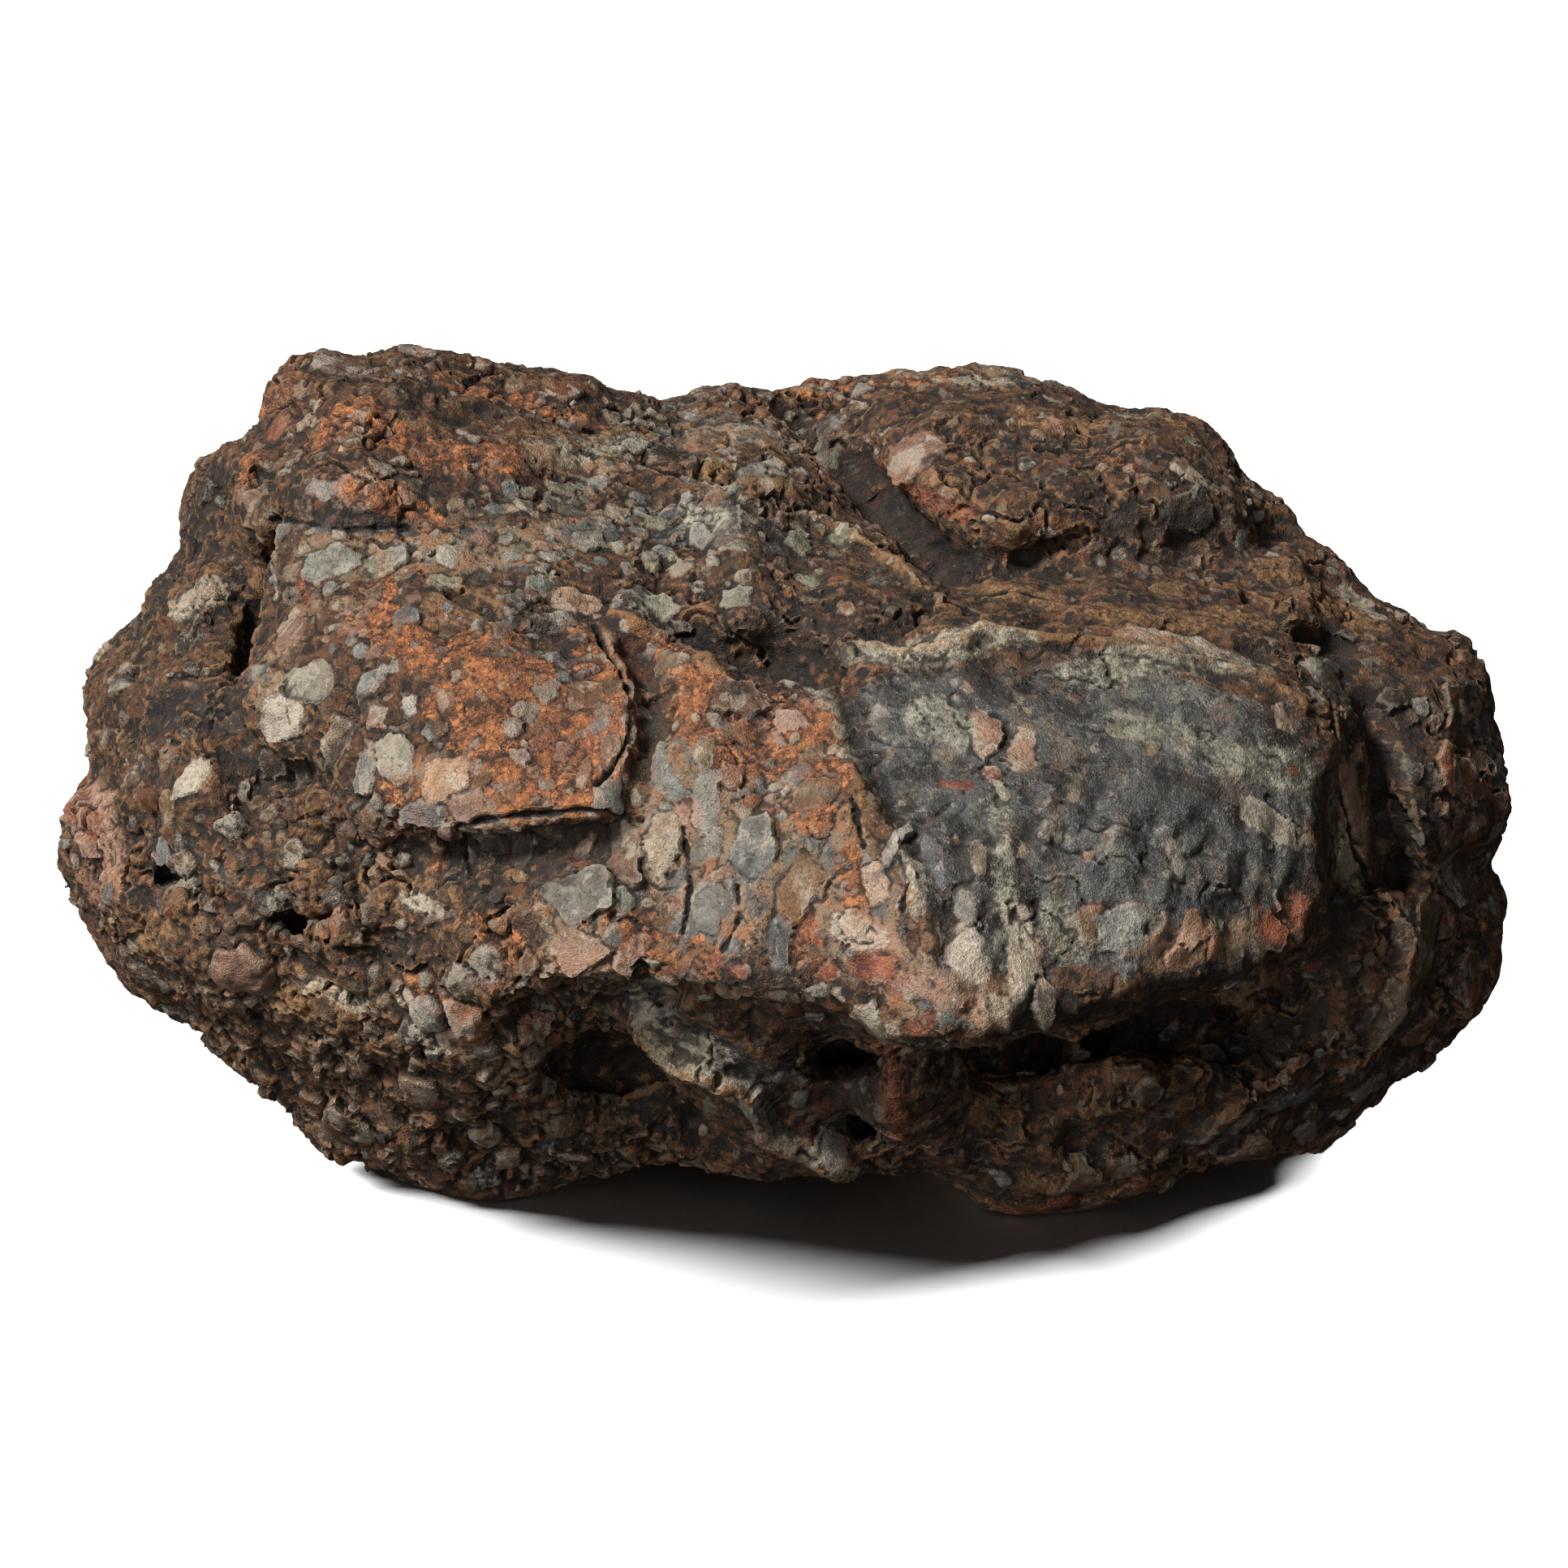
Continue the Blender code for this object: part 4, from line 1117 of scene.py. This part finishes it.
def clouded(finish, patch, grain):
    """A chip's own tone with clouds, stains, a few veins and dark specks; and the clouds and the veins."""
    tone = finish.attribute("tone", "Color")
    cloud = finish.noise(1.6, 3.0, 0.6) - 0.5
    tone = finish.over(tone, cloud, 0.0, 0.24, 0.30, (0.76, 0.71, 0.63))
    tone = finish.mix(finish.between(cloud * -1.0, 0.0, 0.22) * 0.85, tone, (0.45, 0.45, 0.46), "MULTIPLY")
    tone = finish.over(tone, patch * 0.7 + grain * 0.4, 0.04, 0.20, 0.60, (0.47, 0.33, 0.22))
    vein = (1 - finish.between(patch.away(0.03), 0.0, 0.014)) * finish.between(cloud, -0.06, 0.06)
    tone = finish.mix(vein * 0.7, tone, colour(0.13, 0.10, 0.085))
    tone = finish.over(tone, grain - patch * 0.3, 0.17, 0.27, 0.65, (0.19, 0.155, 0.125))
    return tone, cloud, vein


class StoneNoises:
    """What the whole skin shares: noises of about -0.5 to 0.5, from broad to fine, and facets."""

    def __init__(self, finish):
        self.finish = finish
        self.drift = finish.noise(9.0, 2.0, 0.55) - 0.5
        self.patch = finish.noise(2.6, 3.0, 0.6) - 0.5
        self.mottle = finish.noise(1.1, 4.0, 0.72) - 0.5
        self.grain = finish.noise(0.50, 3.0, 0.65) - 0.5
        self.dust = finish.noise(0.15, 2.0, 0.6) - 0.5
        ragged = finish.bent(0.50, 0.26)
        self.crackle = finish.cells(1.2, ragged, "DISTANCE_TO_EDGE")
        self.crumb, chance = finish.facets(1.0, ragged)
        self.first, self.second, self.third = finish.parts(chance)
        drawn = finish.vector("MULTIPLY", ragged, (1.0, 1.0, 0.36))
        self.shard, chance = finish.facets(2.1, drawn)
        self.bright, self.warm, _ = finish.parts(chance)
        self.streak = finish.noise(1.7, 4.0, 0.64, at=drawn) - 0.5

    def share(self, name, patchy, grainy, sharp):
        """Where a pigment is: its stored share, with an edge broken up by the noises."""
        broken = self.finish.attribute(name) + self.patch * patchy * 0.6 + self.mottle * patchy * 0.6
        return self.finish.between(broken + self.grain * grainy, 0.5 - sharp, 0.5 + sharp)


def craze_lines(finish, n):
    """The fine dark lines that craze the rust and the cement."""
    net = 1 - finish.between(n.crackle, 0.0, 0.06 + n.patch * 0.14)
    net = net * finish.between(n.mottle + n.dust * 0.6, -0.14, 0.06)
    hair = 1 - finish.between(n.mottle.away(0.02), 0.0, 0.034)
    hair = hair * finish.between(n.patch + n.grain * 0.5, -0.12, 0.05)
    return net.largest(hair * 0.85)


def cement(finish, n):
    """The dark ground between the chips, with crumbs, grit and patches of ochre."""
    value = n.mottle + n.grain * 0.4 + n.first * 0.3
    tone = finish.graded(value, 0.0, 0.34, (0.12, 0.086, 0.061), (0.385, 0.252, 0.15))
    tone = finish.over(tone, n.second, 0.74, 0.78, 0.35, (0.44, 0.34, 0.25))
    tone = finish.over(tone, n.second, 0.92, 0.94, 0.45, (0.52, 0.48, 0.42))
    tone = finish.over(tone, n.third, 0.80, 0.84, 0.45, (0.50, 0.30, 0.18))
    grit = n.grain * 0.7 + n.dust * 0.6 + n.mottle * 0.6
    tone = finish.over(tone, grit, 0.13, 0.20, 0.5, (0.60, 0.45, 0.30))
    dirt = n.mottle * -0.9 + n.dust * 0.5 + n.patch * 0.4
    tone = finish.over(tone, dirt, 0.08, 0.15, 0.7, (0.10, 0.078, 0.06))
    ochre = finish.graded(n.grain + n.mottle * 0.7, -0.2, 0.25, (0.33, 0.225, 0.14), (0.64, 0.475, 0.31))
    return finish.mix(n.share("tan", 0.9, 0.7, 0.20) * 0.8, tone, ochre)


def grey_agate(finish, n):
    """The broken grey agate of the fracture and the shards."""
    value = n.streak + n.drift * 0.9 + n.bright * 0.20 + n.mottle * 0.35 - 0.10
    tone = finish.graded(value, -0.22, 0.0, (0.16, 0.145, 0.13), (0.30, 0.30, 0.293))
    tone = finish.mix(finish.between(value, 0.06, 0.28), tone, colour(0.46, 0.445, 0.395))
    tone = finish.over(tone, n.warm + n.mottle, 0.80, 0.95, 0.5, (0.50, 0.41, 0.33))
    tone = finish.over(tone, n.mottle - n.streak * 0.6 - n.drift * 0.3, 0.06, 0.14, 0.75, (0.17, 0.14, 0.12))
    stain = n.grain * 1.2 - n.patch * 0.8 + n.mottle * 0.5
    tone = finish.over(tone, stain, 0.16, 0.23, 0.6, (0.24, 0.165, 0.12))
    tone = finish.over(tone, n.grain + n.dust * 0.8, 0.11, 0.17, 0.45, (0.60, 0.58, 0.53))
    return finish.over(tone, n.dust * 0.8 - n.grain, 0.10, 0.16, 0.60, (0.12, 0.105, 0.09))


def flesh_agate(finish, n):
    """The warm agate of the broken face."""
    value = n.streak + n.patch * 0.5 + n.warm * 0.26 - 0.13
    tone = finish.graded(value, -0.16, -0.02, (0.37, 0.36, 0.335), (0.55, 0.44, 0.335))
    tone = finish.mix(finish.between(value + n.grain * 0.4, 0.06, 0.20), tone, colour(0.60, 0.40, 0.26))
    return finish.over(tone, n.mottle * -1.0 + n.grain * 0.4, 0.09, 0.14, 0.85, (0.19, 0.14, 0.105))


def bedded_chip(finish, n, depth):
    """A chip's clouded tone, with darker facets, pale streaks, pits and a stained border."""
    tone, _, _ = clouded(finish, n.patch, n.grain)
    facet = finish.between(n.first + n.mottle * 1.2, 0.55, 0.80)
    tone = finish.mix(facet * 0.55, tone, (0.55, 0.53, 0.52), "MULTIPLY")
    tone = finish.over(tone, n.bright * 0.5 + n.streak + n.mottle * 0.8, 0.34, 0.50, 0.45, (0.74, 0.70, 0.63))
    tone = finish.over(tone, n.dust - n.grain * 0.7, 0.13, 0.20, 0.45, (0.22, 0.17, 0.14))
    stain = 1 - finish.between(depth + n.grain * 0.4, 0.02, 0.42)
    stain = stain * finish.between(n.drift + n.patch, -0.12, 0.12)
    return finish.mix(stain * 0.55, tone, colour(0.53, 0.38, 0.27))


def rust_crust(finish, n, lines):
    tone = finish.graded(n.mottle + n.grain * 0.7, -0.2, 0.2, (0.43, 0.255, 0.148), (0.75, 0.47, 0.28))
    flecks = n.grain * 0.8 + n.dust * 0.6 + n.patch * 0.5
    tone = finish.over(tone, flecks, 0.17, 0.23, 0.45, (0.64, 0.53, 0.44))
    tone = finish.over(tone, n.patch * 0.7 - n.mottle + n.grain * 0.6, 0.05, 0.11, 0.85, (0.19, 0.13, 0.092))
    return finish.mix(lines * 0.92, tone, colour(0.115, 0.08, 0.062))


def stone_finish():
    """The skin: cement and agate, bedded chips, stains, a crazed crust of rust, and cracks; with painted
    shade in the hollows, in the cracks and under the dark strokes, pale rims that are partly wear and partly
    a painted highlight, and painted glints.
    """
    finish = Finish("agatized_stone_skin")
    between = finish.between
    n = StoneNoises(finish)
    patch, mottle, grain, dust, streak = n.patch, n.mottle, n.grain, n.dust, n.streak
    lines = craze_lines(finish, n)
    grey = n.share("grey", 1.0, 0.9, 0.12)
    flesh = n.share("flesh", 1.0, 0.8, 0.14)
    # dark: the share of painted shade from the dark strokes.
    dark = n.share("dark", 0.9, 0.8, 0.22)
    jasper = n.share("jasper", 0.8, 0.6, 0.18)
    tone = finish.mix(grey * 0.95, cement(finish, n), grey_agate(finish, n))
    tone = finish.mix(flesh * 0.92, tone, flesh_agate(finish, n))

    depth = finish.attribute("border")
    border = depth + grain * 0.36 + dust * 0.16
    film = between(mottle * 0.8 + patch * 0.6 - depth * 0.15, 0.07, 0.13)
    inside = between(border, -0.03, 0.05) * (1 - film * 0.8)
    tone = finish.mix(inside * (1 - dark * 0.55) * 0.94, tone, bedded_chip(finish, n, depth))

    green = n.share("green", 0.9, 0.7, 0.34) * between(streak + mottle * 0.6 + dust * 0.4, -0.26, 0.06)
    pale_green = finish.graded(grain + streak, -0.2, 0.2, (0.38, 0.365, 0.31), (0.69, 0.665, 0.575))
    tone = finish.mix(green * 0.72, tone, pale_green)
    tone = finish.mix(n.share("pink", 0.8, 0.5, 0.2) * 0.50, tone, colour(0.68, 0.50, 0.41))
    chalky = finish.graded(grain, -0.25, 0.2, (0.52, 0.44, 0.35), (0.82, 0.77, 0.68))
    tone = finish.mix(n.share("cream", 0.7, 0.9, 0.15) * 0.62, tone, chalky)
    # Painted shade: under the dark strokes the tone goes to a near black brown.
    painted_shade_tone = finish.graded(grain + mottle * 0.5, 0.0, 0.2, (0.115, 0.095, 0.082), (0.30, 0.225, 0.165))
    tone = finish.mix(dark * 0.72, tone, painted_shade_tone)
    rust = n.share("rust", 1.5, 1.0, 0.08) * (1 - inside * 0.72)
    tone = finish.mix(rust * 0.92, tone, rust_crust(finish, n, lines))
    red = finish.graded(patch + grain * 0.5, -0.2, 0.2, (0.37, 0.16, 0.09), (0.62, 0.36, 0.23))
    tone = finish.mix(jasper * 0.80, tone, red)

    glassy = grey.largest(flesh)
    bare = (1 - inside) * (1 - glassy * 0.8) * (1 - rust * 0.6)
    tone = finish.mix(lines * 0.75 * bare, tone, colour(0.095, 0.07, 0.056))
    splits = (1 - between(streak.away(0.03), 0.0, 0.016)) * between(mottle - patch, -0.08, 0.12)
    tone = finish.mix(splits * glassy * 0.75, tone, colour(0.13, 0.105, 0.09))
    outline = between(border, -0.10, -0.02) * (1 - between(border, 0.0, 0.08))
    outline = outline * between(patch - mottle, -0.20, 0.14) * (1 - grey * 0.8) * (1 - flesh * 0.3)
    tone = finish.mix(outline * 0.55, tone, colour(0.10, 0.075, 0.06))

    hollow = finish.attribute("hollow")
    even = inside.largest(glassy * 0.85)
    # Painted shade: small and broad hollows of the skin are darkened towards a near black brown.
    shade = between(hollow * 0.9 + finish.attribute("broad_hollow") * 0.9 + grain * 0.5, 0.08, 0.72)
    tone = finish.mix(shade * 0.76, tone, colour(0.088, 0.070, 0.057))
    # Pale convex rims: partly wear, partly a painted highlight on the ridges.
    rim_highlight_and_wear = between(hollow * -1.0 + dust * 0.8 + grain * 0.4, 0.40, 0.80)
    pale = finish.mix(even, colour(0.68, 0.51, 0.345), colour(0.77, 0.72, 0.64))
    tone = finish.mix(rim_highlight_and_wear * 0.34 * (1 - inside * 0.5), tone, pale)
    tone = finish.mix(between(dust + grain * 0.4, 0.17, 0.25) * 0.45, tone, pale)
    tone = finish.over(tone, dust * -1.0 + grain * 0.2, 0.12, 0.20, 0.65, (0.09, 0.07, 0.055))
    # Painted shade: the cracks' grooves are darkened almost to black.
    tone = finish.over(tone, finish.attribute("gap") + grain * 0.3, 0.25, 0.55, 0.93, (0.045, 0.036, 0.03))
    # Painted glints: tiny near-white specks on the chips and glassy places, kept out of the painted shade.
    painted_glint = between(dust * 0.8 - grain * 0.5 + mottle * 0.2, 0.27, 0.32) * even * (1 - shade)
    tone = finish.mix(painted_glint * 0.75, tone, colour(0.88, 0.87, 0.85))

    waxy = (glassy * 0.48).largest(inside * 0.50).largest(jasper * 0.45)
    waxy = waxy * (1 - rust) * (1 - shade) * (1 - dark * 0.6)
    glass = finish.attribute("glass")
    rough = n.crumb * 0.4 + mottle * 0.8 + grain * 0.4
    height = rough * (1 - glass * 0.6) + n.shard * glass * 0.45 + grain * 0.40 + dust * 0.45
    return finish.made_up(
        Base_Color=tone,
        Roughness=(0.82 - waxy + dust * 0.25 + grain * 0.15).kept_in(),
        Specular_IOR_Level=0.5,
        Normal=finish.bump(1.0, 0.44, height),
    )


def grain_finish():
    """Grains: each has its own tone, darker down its flanks towards the skin it is bedded in."""
    finish = Finish("agate_grain")
    patch = finish.noise(2.6, 4.0, 0.6) - 0.5
    grain = finish.noise(0.50, 3.0, 0.65) - 0.5
    dust = finish.noise(0.16, 2.0, 0.6) - 0.5
    tone, cloud, vein = clouded(finish, patch, grain)
    rust = finish.between(finish.attribute("rust") + patch * 1.1 + grain, 0.66, 0.86)
    crust = finish.graded(grain, -0.2, 0.2, (0.50, 0.30, 0.19), (0.76, 0.50, 0.35))
    tone = finish.mix(rust * 0.8, tone, crust)
    # Painted shade: grains under the dark strokes are darkened.
    dark = finish.attribute("dark") + patch + grain * 0.9
    tone = finish.over(tone, dark, 0.55, 0.95, 0.75, (0.15, 0.125, 0.105))
    # Darker down the flanks, towards where the grain is bedded.
    flank = finish.between(finish.attribute("flank") + grain * 0.9, 0.25, 0.75)
    tone = finish.mix(flank * 0.85, tone, colour(0.12, 0.10, 0.085))
    height = grain * 0.6 + dust * 0.35 - vein * 0.3 + cloud * 0.5
    return finish.made_up(
        Base_Color=tone,
        Roughness=(0.62 + flank * 0.25 + rust * 0.2 + grain * 0.3).kept_in(),
        Specular_IOR_Level=0.45,
        Normal=finish.bump(0.8, 0.22, height),
    )


# Pieces


def dressed(piece, material):
    """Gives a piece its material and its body."""
    piece.data.materials.clear()
    piece.data.materials.append(material)
    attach(piece, "root")
    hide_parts("coprolite")
    return piece


def hidden_share(points, normals):
    """1 on the far side and 0 on the side that the photograph shows."""
    turned = smooth_step(-(normals @ NEARER), 0.0, 0.4)
    return np.where(points[:, 1] > 20, np.maximum(turned, smooth_step(points[:, 1], 20, 32)), turned)


def set_in_stone(name, arrays, material, places, pigments):
    """A piece of many small closed solids, from arrays."""
    points, triangles, flanks, tones = arrays
    mesh = mesh_from(name, points, triangles)
    set_values(mesh, "flank", flanks)
    set_tones(mesh, tones)
    mesh.polygons.foreach_set("use_smooth", np.ones(len(triangles), bool))
    mesh.set_sharp_from_angle(angle=math.radians(GRAIN_SHARP_DEGREES))
    points = read_points(mesh)
    hidden = hidden_share(points, read_normals(mesh))
    for pigment, share in places.pigment_shares(points, hidden, pigments).items():
        set_values(mesh, pigment, share)
    return dressed(new_piece(name, mesh), material)


def main():
    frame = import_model()
    cad_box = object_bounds()
    cad = frame["nodes"]["coprolite"]

    base_piece = new_piece("base", cad.data.copy())
    base = with_modifiers(
        base_piece,
        ("REMESH", {"mode": "VOXEL", "voxel_size": SKIN_STEP * MM}),
        ("SMOOTH", {"factor": 0.5, "iterations": SKIN_SMOOTHINGS}),
    )
    quads = read_rows(base.polygons, "vertices", 4, np.int32)
    places = Places(BVHTree.FromPolygons([Vector(p) for p in read_points(base)], quads.tolist()))
    shaped(base, places)
    points = read_points(base)
    shaped_tree = BVHTree.FromPolygons([Vector(p) for p in points], quads.tolist())
    surface = surface_of(points, read_normals(base), np.vstack((quads[:, (0, 1, 2)], quads[:, (0, 2, 3)])))

    random = np.random.default_rng(SEED)
    chips = scattered_chips(places, surface, random, noted_chips(shaped_tree, random))
    skin = skin_pieces(places, base.copy(), chips, stone_finish())
    # The grains read the rust pigment and the painted shade of the dark strokes.
    set_in_stone("grains", grain_pieces(places, skin, random), grain_finish(), places, ("rust", "dark"))
    bpy.data.objects.remove(base_piece)
    return cad_box


def stage():
    """The floor, the light and the camera."""
    scene = bpy.context.scene
    floor = new_piece("floor", bpy.data.meshes.new("floor"))
    corners = [(x * FLOOR_HALF, y * FLOOR_HALF, -FLOOR_GAP) for x, y in ((-1, -1), (1, -1), (1, 1), (-1, 1))]
    floor.data.from_pydata(corners, [], [(0, 1, 2, 3)])
    pale = Finish("pale_floor").made_up(Base_Color=(0.92, 0.92, 0.92), Roughness=1.0, Specular_IOR_Level=0.0)
    floor.data.materials.append(pale)
    floor.visible_diffuse = False
    floor.visible_glossy = False

    world = bpy.data.worlds.new("studio")
    scene.world = world
    world.use_nodes = True
    back = world.node_tree.nodes["Background"]
    back.inputs["Color"].default_value = (1, 1, 1, 1)
    back.inputs["Strength"].default_value = 0.02

    stone_only = bpy.data.collections.new("lit_stone")
    floor_only = bpy.data.collections.new("lit_floor")
    floor_only.objects.link(floor)
    for piece in scene.objects:
        if piece.type == "MESH" and piece != floor:
            stone_only.objects.link(piece)
    # name, strength, width in degrees, the way the light goes, what it lights
    for name, strength, spread, aim, lit in (
        ("key", 4.9, 14, (0.50, 0.30, -0.75), stone_only),
        ("left_fill", 1.5, 40, (0.78, 0.58, -0.12), stone_only),
        ("front_fill", 0.66, 60, (-0.10, 0.98, 0.05), stone_only),
        ("sky_fill", 0.25, 150, (0.0, 0.10, -1.0), stone_only),
        ("floor_left", 9.0, 20, (0.85, -0.11, -0.50), floor_only),
        ("floor_right", 9.0, 20, (-0.70, -0.25, -0.60), floor_only),
    ):
        light = bpy.data.lights.new(name, "SUN")
        light.energy = strength
        light.angle = math.radians(spread)
        lamp = bpy.data.objects.new(name, light)
        lamp.rotation_mode = "QUATERNION"
        lamp.rotation_quaternion = Vector(aim).to_track_quat("-Z", "Y")
        scene.collection.objects.link(lamp)
        lamp.light_linking.receiver_collection = lit

    camera = bpy.data.cameras.new("photo_camera")
    camera.sensor_width = SENSOR
    camera.lens = SENSOR * VIEW_DISTANCE / (PHOTO_SIDE / PX_PER_MM)
    camera.clip_start = 0.01
    holder = bpy.data.objects.new("photo_camera", camera)
    holder.location = Vector(EYE * MM)
    holder.rotation_mode = "QUATERNION"
    holder.rotation_quaternion = Vector(-NEARER).to_track_quat("-Z", "Y")
    scene.collection.objects.link(holder)
    scene.camera = holder
    scene.view_settings.view_transform = "Standard"


solid_box = main()
stage()
